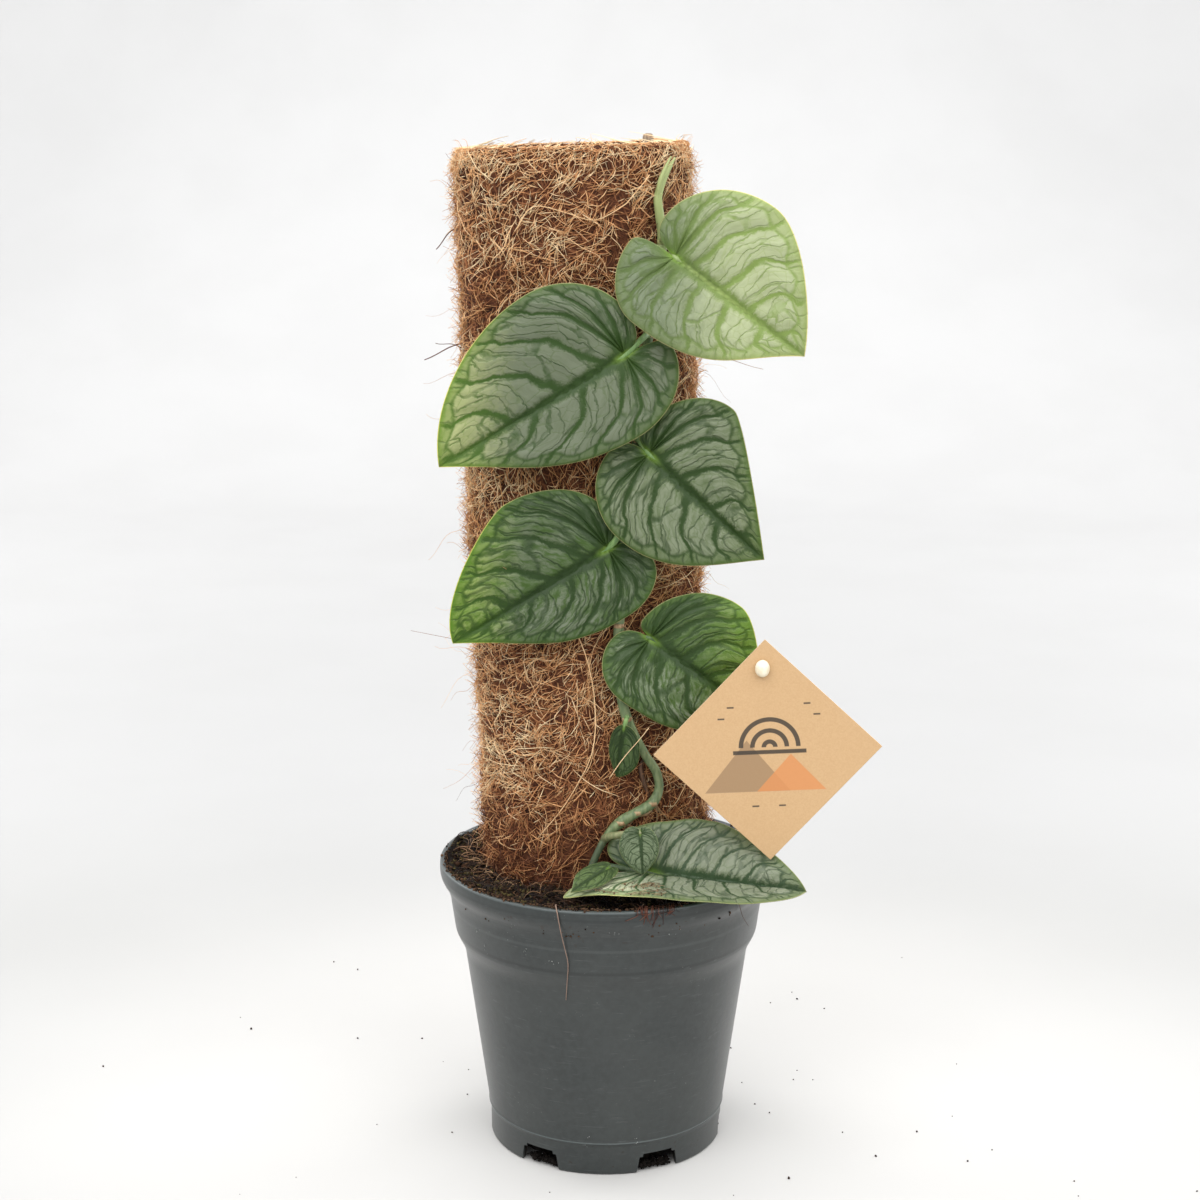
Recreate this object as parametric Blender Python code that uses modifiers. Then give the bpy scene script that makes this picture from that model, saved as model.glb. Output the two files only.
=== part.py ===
"""A monstera dubia vine on an oval coir pole, in a 12 cm nursery pot, with a card tag on a stick.

Metres, +Z up. Everything is placed from the pot's axis at floor level. The last step moves the
whole plant so that the origin lies under the centre of its bounding box, on the floor.
"""

import math
import random
from collections import Counter
from dataclasses import dataclass

import bmesh
import bpy
from mathutils import Vector, noise

OBJECT_NAME = "monstera_dubia"
GAP = 0.0003  # clearance between pieces that touch
MERGE = 0.000002  # points nearer than this are one point
SEED = 12

# Pot
RIM_RADIUS = 0.0600
POT_HEIGHT = 0.1046
POT_WALL = 0.0012
POT_STEPS = 42
LIP_HEIGHT = 0.0045
BAND_TOP_RADIUS = 0.0564
BAND_TOP_Z = 0.0920
BAND_FOOT_RADIUS = 0.0546
BAND_FOOT_Z = 0.0790
BODY_TOP_RADIUS = 0.0512
BODY_TOP_Z = 0.0725
BODY_FOOT_RADIUS = 0.0430
RIDGE_Z = 0.0120
FOOT_RADIUS = 0.0424
FOOT_WALL = 0.0020
FOOT_HEIGHT = 0.0075
BASE_RIB_RADIUS = 0.0360  # the ring rib under the floor, which backs the notches
BASE_RIB_WALL = 0.0016
BASE_RIB_CLEAR = 0.0010
FLOOR_THICKNESS = 0.0015
FOOT_COUNT = 6
FOOT_ANGLE = math.radians(-94.3)  # centre of the foot in front
NOTCH_WIDTH = 0.0135
DRAIN_RADIUS = 0.0030
DRAIN_CIRCLE = 0.0290

# Soil
SOIL_TOP = 0.1000
SOIL_MOUND = 0.0028  # how much higher it is banked at the left and the back
SOIL_HOLLOW = 0.0050  # how much lower it is at the front right
SOIL_RINGS = 7
SOIL_STEPS = 40
SOIL_RELIEF = 0.0016

# Coir pole
POLE_HALF_WIDTH = 0.0400
POLE_HALF_DEPTH = 0.0300
POLE_SQUARENESS = 2.2  # exponent of the oval: 2 is an ellipse
POLE_BEHIND = 0.0060  # how far its axis stands behind the pot's
POLE_LEAN = math.radians(1.9)
SLEEVE_WALL = 0.0060
SLEEVE_BOTTOM = 0.0700
SLEEVE_TOP = 0.3570
SLEEVE_SIDES = 40
SLEEVE_ROWS = 28
SLEEVE_RELIEF = 0.0012
SLEEVE_LUMP = 0.0110  # size of the relief's lumps
SLEEVE_BARE_Z = 0.1060  # below this the soil holds it and it is smooth
CORE_BOTTOM = 0.0210
CORE_RECESS = 0.0045
STRAND_COUNT = 26
STRAND_RADIUS = 0.00055
STRAND_LENGTH = (0.018, 0.036)
HAIR_COUNT = 12
HAIR_RADIUS = 0.0004
HAIR_LENGTH = (0.009, 0.017)
CANE_RADIUS = 0.0019
CANE_LENGTH = 0.080
CANE_PROUD = 0.0028  # above the sleeve's edge
CANE_PLACE = (0.0265, 0.0120)  # on the pole's section, right and back

# Stem
STEM_RADIUS = 0.0016
PETIOLE_RADIUS = 0.0011
BLADE_THICKNESS = 0.0008

# Tag
CARD_SIDE = 0.0550
CARD_THICKNESS = 0.0007
CARD_CENTRE = (0.0548, -0.0410, 0.1558)
CARD_TURN = math.radians(2.3)  # about the line of sight
CARD_HOLE_DROP = 0.0097  # below the top corner
CARD_HOLE_ASIDE = -0.0012
KNOB_RADII = (0.0025, 0.0018, 0.0030)
KNOB_FLAT = 0.55  # the share of its depth at which its back is cut flat
NECK_BEHIND = 0.0022  # from the back of the card to the stick
TAG_STICK_RADIUS = 0.0014
TAG_STICK_FOOT = (0.0420, -0.0060, 0.0700)

# The vine's route, from below the soil to the growing tip: x, y, z, thickness factor
STEM_ROUTE = (
    (-0.0075, -0.0290, 0.0780, 0.75),
    (-0.0064, -0.0288, 0.1030, 0.75),
    (-0.0048, -0.0286, 0.1110, 0.78),
    (0.0000, -0.0278, 0.1207, 0.85),
    (0.0050, -0.0270, 0.1258, 1.25),
    (0.0107, -0.0258, 0.1290, 1.10),
    (0.0160, -0.0240, 0.1318, 1.20),
    (0.0184, -0.0226, 0.1368, 1.00),
    (0.0173, -0.0228, 0.1430, 1.00),
    (0.0138, -0.0240, 0.1488, 1.00),
    (0.0103, -0.0249, 0.1555, 1.00),
    (0.0071, -0.0256, 0.1629, 1.15),
    (0.0047, -0.0257, 0.1730, 1.00),
    (0.0040, -0.0258, 0.1854, 1.00),
    (0.0043, -0.0257, 0.1960, 1.15),
    (0.0050, -0.0255, 0.2082, 1.00),
    (0.0043, -0.0255, 0.2239, 1.10),
    (0.0050, -0.0254, 0.2330, 1.00),
    (0.0076, -0.0248, 0.2450, 1.00),
    (0.0106, -0.0236, 0.2596, 1.10),
    (0.0129, -0.0224, 0.2781, 1.00),
    (0.0139, -0.0218, 0.2948, 1.10),
    (0.0162, -0.0204, 0.3113, 1.00),
    (0.0186, -0.0184, 0.3255, 1.10),
    (0.0176, -0.0192, 0.3344, 0.95),
    (0.0170, -0.0196, 0.3400, 0.90),
    (0.0184, -0.0186, 0.3449, 0.75),
    (0.0207, -0.0166, 0.3495, 0.50),
    (0.0227, -0.0146, 0.3530, 0.20),
)
SHEATH_ROUTE = (
    (0.0168, -0.0197, 0.3380, 0.55),
    (0.0176, -0.0205, 0.3450, 0.55),
    (0.0195, -0.0198, 0.3500, 0.35),
    (0.0213, -0.0185, 0.3535, 0.15),
)


@dataclass
class Half:
    """One half of a blade: lengths along and across the midrib, from where the petiole joins it."""

    lobe_back: float
    lobe_out: float
    wide: float
    wide_at: float
    tip_angle: float
    fullness: float
    sag: float = 0.0  # how far its lobe bends down


@dataclass
class Leaf:
    junction: tuple
    tip: tuple
    face: tuple  # the way its upper side looks
    left: Half  # seen on the upper side with the tip pointing away
    right: Half
    petiole: tuple  # the petiole's route, from inside the stem towards the junction
    fold: float = 8.0  # degrees that each half rises from the midrib
    droop: float = 0.06
    curl: float = 0.06
    petiole_radius: float = PETIOLE_RADIUS
    vein_steps: int = 12
    across_steps: int = 3


LEAVES = {
    "leaf_1": Leaf(
        junction=(0.0222, -0.0365, 0.3218),
        tip=(0.0636, -0.0482, 0.2907),
        face=(0.0, -1.0, 0.0),
        left=Half(0.0105, 0.0080, 0.0325, 0.0175, 65, 0.31),
        right=Half(0.0150, 0.0045, 0.0255, 0.0020, 35, 0.62),
        petiole=((0.0186, -0.0184, 0.3255), (0.0190, -0.0245, 0.3275), (0.0205, -0.0305, 0.3255)),
        droop=0.10,
    ),
    "leaf_2": Leaf(
        junction=(0.0061, -0.0340, 0.2895),
        tip=(-0.0556, -0.0400, 0.2524),
        face=(0.0, -1.0, 0.0),
        left=Half(0.0150, 0.0050, 0.0255, 0.0095, 28, 0.46),
        right=Half(0.0080, 0.0100, 0.0345, 0.0185, 68, 0.38),
        petiole=((0.0139, -0.0218, 0.2948), (0.0137, -0.0270, 0.2958), (0.0105, -0.0325, 0.2935)),
    ),
    "leaf_3": Leaf(
        junction=(0.0142, -0.0308, 0.2560),
        tip=(0.0528, -0.0378, 0.2209),
        face=(0.0, -1.0, 0.0),
        left=Half(0.0080, 0.0060, 0.0305, 0.0110, 40, 0.10),
        right=Half(0.0105, 0.0080, 0.0280, 0.0115, 47, 0.49),
        petiole=((0.0106, -0.0236, 0.2596), (0.0108, -0.0275, 0.2608), (0.0125, -0.0290, 0.2580)),
    ),
    "leaf_4": Leaf(
        junction=(0.0005, -0.0297, 0.2236),
        tip=(-0.0521, -0.0350, 0.1909),
        face=(0.0, -1.0, 0.0),
        left=Half(0.0110, 0.0110, 0.0235, 0.0070, 27, 0.47),
        right=Half(0.0065, 0.0100, 0.0315, 0.0220, 78, 0.15),
        petiole=((0.0047, -0.0254, 0.2290), (0.0046, -0.0295, 0.2295), (0.0030, -0.0305, 0.2265)),
        fold=5.0,
    ),
    "leaf_5": Leaf(
        junction=(0.0149, -0.0280, 0.1920),
        tip=(0.0538, -0.0290, 0.1628),
        face=(0.0, -1.0, 0.0),
        left=Half(0.0060, 0.0040, 0.0280, 0.0180, 50, 0.27),
        right=Half(0.0105, 0.0090, 0.0235, 0.0050, 51, 0.60),
        petiole=((0.0041, -0.0258, 0.1862), (0.0070, -0.0263, 0.1893), (0.0112, -0.0268, 0.1910)),
        droop=0.05,
    ),
    "leaf_6": Leaf(
        junction=(0.0151, -0.0339, 0.1096),
        tip=(0.0686, -0.0455, 0.1071),
        face=(0.0, -0.545, 0.839),
        left=Half(0.0160, 0.0070, 0.0205, 0.0210, 56, 0.10),
        right=Half(0.0270, 0.0205, 0.0243, 0.0040, 82, 0.24, 0.6),
        petiole=((-0.0050, -0.0287, 0.1100), (0.0010, -0.0310, 0.1110), (0.0090, -0.0318, 0.1098)),
        fold=33.0,
        droop=0.0,
        curl=0.03,
    ),
    "small_leaf_1": Leaf(
        junction=(0.0061, -0.0300, 0.1611),
        tip=(0.0033, -0.0310, 0.1431),
        face=(-0.15, -1.0, 0.0),
        left=Half(0.0006, 0.0006, 0.0070, 0.0098, 80, 0.52),
        right=Half(0.0006, 0.0006, 0.0042, 0.0060, 25, 0.45),
        petiole=((0.0071, -0.0256, 0.1629), (0.0070, -0.0290, 0.1640)),
        petiole_radius=0.0008,
        vein_steps=8,
        across_steps=2,
    ),
    "small_leaf_2": Leaf(
        junction=(0.0116, -0.0380, 0.1255),
        tip=(0.0126, -0.0420, 0.1117),
        face=(0.0, -1.0, 0.15),
        left=Half(0.0022, 0.0012, 0.0062, 0.0050, 55, 0.37),
        right=Half(0.0024, 0.0026, 0.0076, 0.0046, 66, 0.40),
        petiole=((-0.0005, -0.0279, 0.1200), (0.0014, -0.0322, 0.1224), (0.0068, -0.0362, 0.1244)),
        petiole_radius=0.0013,
        vein_steps=10,
        across_steps=3,
    ),
    "small_leaf_3": Leaf(
        junction=(0.0010, -0.0420, 0.1142),
        tip=(-0.0121, -0.0535, 0.1102),
        face=(-0.10, -0.60, 0.80),
        left=Half(0.0020, 0.0020, 0.0050, 0.0060, 35, 0.45),
        right=Half(0.0015, 0.0015, 0.0050, 0.0090, 30, 0.42),
        petiole=((-0.0056, -0.0287, 0.1070), (-0.0040, -0.0345, 0.1112), (-0.0005, -0.0395, 0.1142)),
        petiole_radius=0.0008,
        vein_steps=8,
        across_steps=2,
    ),
}


def clear_scene():
    for obj in list(bpy.data.objects):
        bpy.data.objects.remove(obj)


def new_collection(name):
    collection = bpy.data.collections.new(name)
    bpy.context.scene.collection.children.link(collection)
    return collection


def new_material(name, color, roughness):
    material = bpy.data.materials.new(name)
    material.use_nodes = True
    shader = material.node_tree.nodes["Principled BSDF"]
    shader.inputs["Base Color"].default_value = (*color, 1.0)
    shader.inputs["Roughness"].default_value = roughness
    return material


def link_mesh(name, mesh, collection, parent=None, material=None):
    obj = bpy.data.objects.new(name, mesh)
    collection.objects.link(obj)
    obj.parent = parent
    if material:
        mesh.materials.clear()
        mesh.materials.append(material)
    return obj


def mesh_from(bm, name):
    mesh = bpy.data.meshes.new(name)
    bm.to_mesh(mesh)
    bm.free()
    return mesh


def evaluated_mesh(obj):
    bpy.context.view_layer.update()
    graph = bpy.context.evaluated_depsgraph_get()
    return bpy.data.meshes.new_from_object(obj.evaluated_get(graph))


def without_flaps(mesh):
    """The mesh as triangles, less the pairs that lie back to back on the same three points."""
    mesh.calc_loop_triangles()
    triangles = [tuple(triangle.vertices) for triangle in mesh.loop_triangles]
    uses = Counter(frozenset(triangle) for triangle in triangles)
    kept = [triangle for triangle in triangles if uses[frozenset(triangle)] == 1]
    clean = bpy.data.meshes.new(mesh.name)
    clean.from_pydata([vert.co for vert in mesh.vertices], [], kept)
    bm = bmesh.new()
    bm.from_mesh(clean)
    loose = [vert for vert in bm.verts if not vert.link_faces]
    bmesh.ops.delete(bm, geom=loose, context="VERTS")
    bm.to_mesh(clean)
    bm.free()
    for material in mesh.materials:
        clean.materials.append(material)
    return clean


def apply_modifiers(obj):
    mesh = evaluated_mesh(obj)
    obj.modifiers.clear()
    obj.data = without_flaps(mesh)
    return obj


def tube(name, route, collection, parent=None, radius=STEM_RADIUS, smooth=3, resolution=1):
    """A closed mesh tube through the route's points, each with its own thickness factor."""
    curve = bpy.data.curves.new(name, "CURVE")
    curve.dimensions = "3D"
    curve.bevel_depth = radius
    curve.bevel_resolution = resolution
    curve.resolution_u = smooth
    curve.use_fill_caps = True
    spline = curve.splines.new("BEZIER")
    spline.bezier_points.add(len(route) - 1)
    for point, (x, y, z, factor) in zip(spline.bezier_points, route):
        point.co = (x, y, z)
        point.handle_left_type = "AUTO"
        point.handle_right_type = "AUTO"
        point.radius = factor
    guide = bpy.data.objects.new(name, curve)
    collection.objects.link(guide)
    guide.parent = parent
    mesh = evaluated_mesh(guide)
    bpy.data.objects.remove(guide)
    bm = bmesh.new()
    bm.from_mesh(mesh)
    bmesh.ops.remove_doubles(bm, verts=bm.verts, dist=MERGE)
    bm.to_mesh(mesh)
    bm.free()
    return link_mesh(name, mesh, collection, parent)


def add_boolean(obj, operation, other):
    modifier = obj.modifiers.new(operation.lower(), "BOOLEAN")
    modifier.operation = operation
    modifier.solver = "EXACT"
    if isinstance(other, bpy.types.Collection):
        modifier.operand_type = "COLLECTION"
        modifier.collection = other
    else:
        modifier.object = other


def fuse(obj, pieces):
    """Joins the pieces to the object as one solid, and removes them."""
    joined = new_collection(f"{obj.name}_pieces")
    for piece in pieces:
        for collection in list(piece.users_collection):
            collection.objects.unlink(piece)
        joined.objects.link(piece)
    add_boolean(obj, "UNION", joined)
    apply_modifiers(obj)
    for piece in pieces:
        bpy.data.objects.remove(piece)
    bpy.data.collections.remove(joined)


def hide_cutter(obj):
    obj.hide_render = True
    obj.display_type = "WIRE"
    return obj


def smooth_shading(obj, angle=35):
    obj.data.shade_smooth()
    obj.data.set_sharp_from_angle(angle=math.radians(angle))


def turned(name, profile, steps, collection, parent, material):
    """A profile of (radius, z) points turned about Z. It runs down its outer side."""
    mesh = bpy.data.meshes.new(name)
    points = [(radius, 0.0, z) for radius, z in profile]
    edges = [(i, i + 1) for i in range(len(points) - 1)]
    mesh.from_pydata(points, edges, [])
    obj = link_mesh(name, mesh, collection, parent, material)
    screw = obj.modifiers.new("turn", "SCREW")
    screw.steps = steps
    screw.render_steps = steps
    screw.use_merge_vertices = True
    screw.merge_threshold = MERGE
    screw.use_smooth_shade = True
    return obj


def pot_outer_profile():
    """The pot's outside, from the rim down to the foot ring."""
    return [
        (RIM_RADIUS - 0.0004, POT_HEIGHT),
        (RIM_RADIUS, POT_HEIGHT - 0.0005),
        (RIM_RADIUS, POT_HEIGHT - LIP_HEIGHT),
        (RIM_RADIUS - 0.0008, POT_HEIGHT - LIP_HEIGHT - 0.0022),
        (BAND_TOP_RADIUS + 0.0011, BAND_TOP_Z + 0.0034),
        (BAND_TOP_RADIUS, BAND_TOP_Z),
        (BAND_FOOT_RADIUS, BAND_FOOT_Z),
        (BAND_FOOT_RADIUS - 0.0008, BAND_FOOT_Z - 0.0016),
        (BODY_TOP_RADIUS + 0.0008, BODY_TOP_Z + 0.0014),
        (BODY_TOP_RADIUS, BODY_TOP_Z - 0.0012),
        (BODY_FOOT_RADIUS, RIDGE_Z),
        (FOOT_RADIUS, RIDGE_Z - 0.0009),
        (FOOT_RADIUS, 0.0),
    ]


def pot_inner_radius(z):
    """The inside of the wall at height z, a wall's thickness in from the outside."""
    outer = pot_outer_profile()
    for (r_top, z_top), (r_low, z_low) in zip(outer[1:-1], outer[2:]):
        if z_low <= z <= z_top and z_top > z_low:
            share = (z - z_low) / (z_top - z_low)
            return r_low + (r_top - r_low) * share - POT_WALL
    return RIM_RADIUS - POT_WALL


def build_pot(collection, cutters, parent):
    floor = FOOT_HEIGHT + FLOOR_THICKNESS
    inside = [(0.0, floor), (pot_inner_radius(RIDGE_Z) - 0.0006, floor)]
    levels = [BODY_TOP_Z - 0.0012, BAND_FOOT_Z - 0.0016, BAND_FOOT_Z, BAND_TOP_Z]
    levels += [POT_HEIGHT - LIP_HEIGHT - 0.0022, POT_HEIGHT - LIP_HEIGHT]
    inside += [(pot_inner_radius(z), z) for z in levels]
    rim = [(RIM_RADIUS - POT_WALL - 0.0010, POT_HEIGHT)]
    foot_inner = FOOT_RADIUS - FOOT_WALL
    rib_inner = BASE_RIB_RADIUS - BASE_RIB_WALL
    under = [(foot_inner, 0.0), (foot_inner, FOOT_HEIGHT), (BASE_RIB_RADIUS, FOOT_HEIGHT)]
    under += [(BASE_RIB_RADIUS, BASE_RIB_CLEAR), (rib_inner, BASE_RIB_CLEAR)]
    under += [(rib_inner, FOOT_HEIGHT), (0.0, FOOT_HEIGHT)]
    profile = inside + rim + pot_outer_profile() + under
    material = new_material("pot_plastic", (0.070, 0.077, 0.075), 0.45)
    pot = turned("pot", profile, POT_STEPS, collection, parent, material)
    apply_modifiers(pot)
    step = math.tau / FOOT_COUNT
    for index in range(FOOT_COUNT):
        angle = FOOT_ANGLE + step * (index + 0.5)
        add_boolean(pot, "DIFFERENCE", notch_cutter(index, angle, cutters, parent))
        add_boolean(pot, "DIFFERENCE", drain_cutter(index, angle, cutters, parent))
    apply_modifiers(pot)
    smooth_shading(pot)
    return pot


def notch_cutter(index, angle, cutters, parent):
    """A wedge-sided block that opens the foot ring between two feet."""
    depth = 0.0110
    height = FOOT_HEIGHT - 0.0003
    bm = bmesh.new()
    bmesh.ops.create_cube(bm, size=1.0)
    for vert in bm.verts:
        spread = 1.0 if vert.co.z > 0 else 1.25
        vert.co.x *= depth
        vert.co.y *= NOTCH_WIDTH * spread
        vert.co.z = height if vert.co.z > 0 else -0.002
    cutter = link_mesh(f"notch_{index}", mesh_from(bm, "notch"), cutters, parent)
    cutter.location = (FOOT_RADIUS * math.cos(angle), FOOT_RADIUS * math.sin(angle), 0.0)
    cutter.rotation_euler = (0.0, 0.0, angle)
    return hide_cutter(cutter)


def cylinder_mesh(name, radius, bottom, top, sides):
    bm = bmesh.new()
    bmesh.ops.create_cone(
        bm, cap_ends=True, segments=sides, radius1=radius, radius2=radius, depth=top - bottom
    )
    for vert in bm.verts:
        vert.co.z += (top + bottom) / 2
    return mesh_from(bm, name)


def drain_cutter(index, angle, cutters, parent):
    mesh = cylinder_mesh("drain", DRAIN_RADIUS, FOOT_HEIGHT - 0.002, FOOT_HEIGHT + 0.004, 16)
    cutter = link_mesh(f"drain_{index}", mesh, cutters, parent)
    cutter.location = (DRAIN_CIRCLE * math.cos(angle), DRAIN_CIRCLE * math.sin(angle), 0.0)
    return hide_cutter(cutter)


def soil_height(x, y):
    """The soil's surface: banked up at the left and back, hollow at the front right."""
    reach = RIM_RADIUS - 2 * POT_WALL
    bank = max(0.0, (y - 0.6 * x) / (1.4 * reach))
    hollow = max(0.0, (x - y) / (1.5 * reach) - 0.35)
    rough = noise.noise(Vector((x, y, 0.0)) * 90.0) + 0.6 * noise.noise(Vector((x, y, 1.0)) * 210.0)
    return SOIL_TOP + SOIL_MOUND * bank - SOIL_HOLLOW * hollow + SOIL_RELIEF * rough


def build_soil(collection, cutters, parent, holes):
    bottom = FOOT_HEIGHT + FLOOR_THICKNESS + GAP
    wall = [(pot_inner_radius(z) - GAP, z) for z in (BAND_TOP_Z, BAND_FOOT_Z, BAND_FOOT_Z - 0.0016)]
    wall.append((pot_inner_radius(BODY_TOP_Z - 0.0012) - GAP, BODY_TOP_Z - 0.0012))
    wall.append((pot_inner_radius(RIDGE_Z) - 0.0006 - 2 * GAP, bottom))
    edge = pot_inner_radius(BAND_TOP_Z) - GAP
    top = [(edge * i / SOIL_RINGS, SOIL_TOP) for i in range(SOIL_RINGS + 1)]
    profile = top + wall + [(0.0, bottom)]
    material = new_material("potting_soil", (0.050, 0.028, 0.016), 0.95)
    soil = turned("soil", profile, SOIL_STEPS, collection, parent, material)
    apply_modifiers(soil)
    for vert in soil.data.vertices:
        if vert.co.z > SOIL_TOP - 0.0001:
            vert.co.z = soil_height(vert.co.x, vert.co.y)
    for hole in holes:
        add_boolean(soil, "DIFFERENCE", hole)
    apply_modifiers(soil)
    smooth_shading(soil, 50)
    return soil


def oval_point(half_width, half_depth, angle):
    power = 2.0 / POLE_SQUARENESS
    cosine = math.cos(angle)
    sine = math.sin(angle)
    x = half_width * math.copysign(abs(cosine) ** power, cosine)
    y = half_depth * math.copysign(abs(sine) ** power, sine)
    return x, y


def oval_bar(name, inset, bottom, top, sides, collection, parent):
    """A solid oval bar, inset from the pole's outer oval."""
    mesh = cylinder_mesh(name, 1.0, bottom, top, sides)
    for vert in mesh.vertices:
        angle = math.atan2(vert.co.y, vert.co.x)
        x, y = oval_point(POLE_HALF_WIDTH - inset, POLE_HALF_DEPTH - inset, angle)
        vert.co.x = x
        vert.co.y = y
    return link_mesh(name, mesh, collection, parent)


def sleeve_offset(angle, z):
    """The coir's relief: lumps, and edges that are rounded off at the top."""
    x, y = oval_point(POLE_HALF_WIDTH, POLE_HALF_DEPTH, angle)
    place = Vector((x, y, z)) / SLEEVE_LUMP
    lumps = noise.noise(place) + 0.7 * noise.noise(place * 2.3)
    lumps *= min(1.0, max(0.0, (z - SLEEVE_BARE_Z) / 0.010))
    below_top = SLEEVE_TOP - z
    rounding = 0.0022 * max(0.0, 1.0 - below_top / 0.006) ** 2
    return SLEEVE_RELIEF * lumps - rounding


def build_sleeve_shell(collection, parent):
    """The coir wrap: a grid rolled up the outside, over the top edge, down the bore and under."""
    bm = bmesh.new()
    around_bore = 3
    rows = SLEEVE_ROWS + around_bore
    bmesh.ops.create_grid(bm, x_segments=SLEEVE_SIDES, y_segments=rows, size=0.5)
    for vert in bm.verts:
        angle = (vert.co.x + 0.5) * math.tau
        row = round((vert.co.y + 0.5) * rows) % rows
        share = min(row, SLEEVE_ROWS) / SLEEVE_ROWS
        z = SLEEVE_BOTTOM + share * (SLEEVE_TOP - SLEEVE_BOTTOM)
        if row == rows - 1:
            z = SLEEVE_BOTTOM
        offset = sleeve_offset(angle, z) if row <= SLEEVE_ROWS else -SLEEVE_WALL
        x, y = oval_point(POLE_HALF_WIDTH + offset, POLE_HALF_DEPTH + offset, angle)
        vert.co = (x, y, z)
    bmesh.ops.remove_doubles(bm, verts=bm.verts, dist=MERGE)
    bmesh.ops.recalc_face_normals(bm, faces=bm.faces)
    return link_mesh("coir_sleeve", mesh_from(bm, "coir_sleeve"), collection, parent)


def on_sleeve(angle, z, lift):
    offset = sleeve_offset(angle, z) + lift
    x, y = oval_point(POLE_HALF_WIDTH + offset, POLE_HALF_DEPTH + offset, angle)
    return x, y, z


def near_vine(angle):
    """True on the front right of the pole, where the stem and the petioles lie."""
    x, y = oval_point(POLE_HALF_WIDTH, POLE_HALF_DEPTH, angle)
    return y < 0 and x > -0.004


def coir_strand(index, draw, collection, parent):
    """A coarse fibre that lies over the surface, with both ends sunk in."""
    angle = draw.uniform(0, math.tau)
    while near_vine(angle):
        angle = draw.uniform(0, math.tau)
    z = draw.uniform(SLEEVE_BARE_Z + 0.022, SLEEVE_TOP - 0.018)
    heading = draw.uniform(0, math.pi)
    length = draw.uniform(*STRAND_LENGTH)
    mean_radius = (POLE_HALF_WIDTH + POLE_HALF_DEPTH) / 2
    route = []
    for share, lift in ((-0.5, -0.0016), (-0.25, 0.0003), (0.0, 0.0006), (0.25, 0.0003), (0.5, -0.0016)):
        turn = length * share * math.cos(heading) / mean_radius
        rise = length * share * math.sin(heading)
        top = SLEEVE_TOP - 0.006
        route.append((*on_sleeve(angle + turn, min(z + rise, top), lift), 1.0))
    return tube(
        f"strand_{index}", route, collection, parent, STRAND_RADIUS, smooth=1, resolution=0
    )


def coir_hair(index, draw, collection, parent):
    """A stray fibre that stands out of the side or the back of the sleeve and tapers."""
    side = math.pi if index % 3 else 0.0
    angle = side + draw.uniform(-0.5, 0.5)
    z = draw.uniform(0.130, SLEEVE_TOP - 0.010)
    length = draw.uniform(*HAIR_LENGTH)
    rise = draw.uniform(-0.5, 0.5)
    route = []
    for share, factor in ((-0.15, 1.0), (0.3, 0.95), (0.65, 0.8), (1.0, 0.6)):
        turn = 0.06 * share * math.sin(index)
        climb = rise * length * share * abs(share)
        route.append((*on_sleeve(angle + turn, z + climb, length * share), factor))
    return tube(f"hair_{index}", route, collection, parent, HAIR_RADIUS, smooth=1, resolution=0)


def build_pole(collection, cutters, parent, stem_clearance):
    """The coir sleeve, the core that it is wrapped on, and the butt of a thin cane in it."""
    draw = random.Random(SEED)
    coir = new_material("coir_fibre", (0.300, 0.155, 0.070), 0.9)
    sleeve = build_sleeve_shell(collection, parent)
    strands = [coir_strand(i, draw, collection, parent) for i in range(STRAND_COUNT)]
    strands += [coir_hair(i, draw, collection, parent) for i in range(HAIR_COUNT)]
    fuse(sleeve, strands)
    add_boolean(sleeve, "DIFFERENCE", stem_clearance)
    apply_modifiers(sleeve)
    sleeve.data.materials.clear()
    sleeve.data.materials.append(coir)
    core_top = SLEEVE_TOP - CORE_RECESS
    core = oval_bar("pole_core", SLEEVE_WALL + 2 * GAP, CORE_BOTTOM, core_top, 32, collection, parent)
    core.data.materials.append(new_material("pole_core_fibre", (0.060, 0.034, 0.020), 0.95))
    cane_top = SLEEVE_TOP + CANE_PROUD
    hole_mesh = cylinder_mesh(
        "cane_hole", CANE_RADIUS + GAP, cane_top - CANE_LENGTH - GAP, cane_top, 12
    )
    hole = hide_cutter(link_mesh("cane_hole", hole_mesh, cutters, parent))
    hole.location = (*CANE_PLACE, 0.0)
    add_boolean(core, "DIFFERENCE", hole)
    apply_modifiers(core)
    cane_mesh = cylinder_mesh("pole_cane", CANE_RADIUS, cane_top - CANE_LENGTH, cane_top, 12)
    cane = link_mesh("pole_cane", cane_mesh, collection, parent)
    cane.location = (*CANE_PLACE, 0.0)
    cane.data.materials.append(new_material("cane_wood", (0.200, 0.140, 0.090), 0.8))
    for obj in (sleeve, core, cane):
        smooth_shading(obj, 50)


def pole_hole(cutters, parent):
    """What the pole takes out of the soil: a wide bore for the sleeve, a narrower one for the core."""
    wide = oval_bar(
        "sleeve_hole", -2 * GAP, SLEEVE_BOTTOM - GAP, POT_HEIGHT + 0.03, SLEEVE_SIDES, cutters, parent
    )
    narrow = oval_bar(
        "core_hole", SLEEVE_WALL + GAP, CORE_BOTTOM - GAP, SLEEVE_BOTTOM + 0.01, 32, cutters, parent
    )
    return [hide_cutter(wide), hide_cutter(narrow)]


def cubic(p0, p1, p2, p3, steps):
    for i in range(steps):
        t = (i + 1) / steps
        s = 1.0 - t
        yield s**3 * p0 + 3 * s * s * t * p1 + 3 * s * t * t * p2 + t**3 * p3


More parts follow.
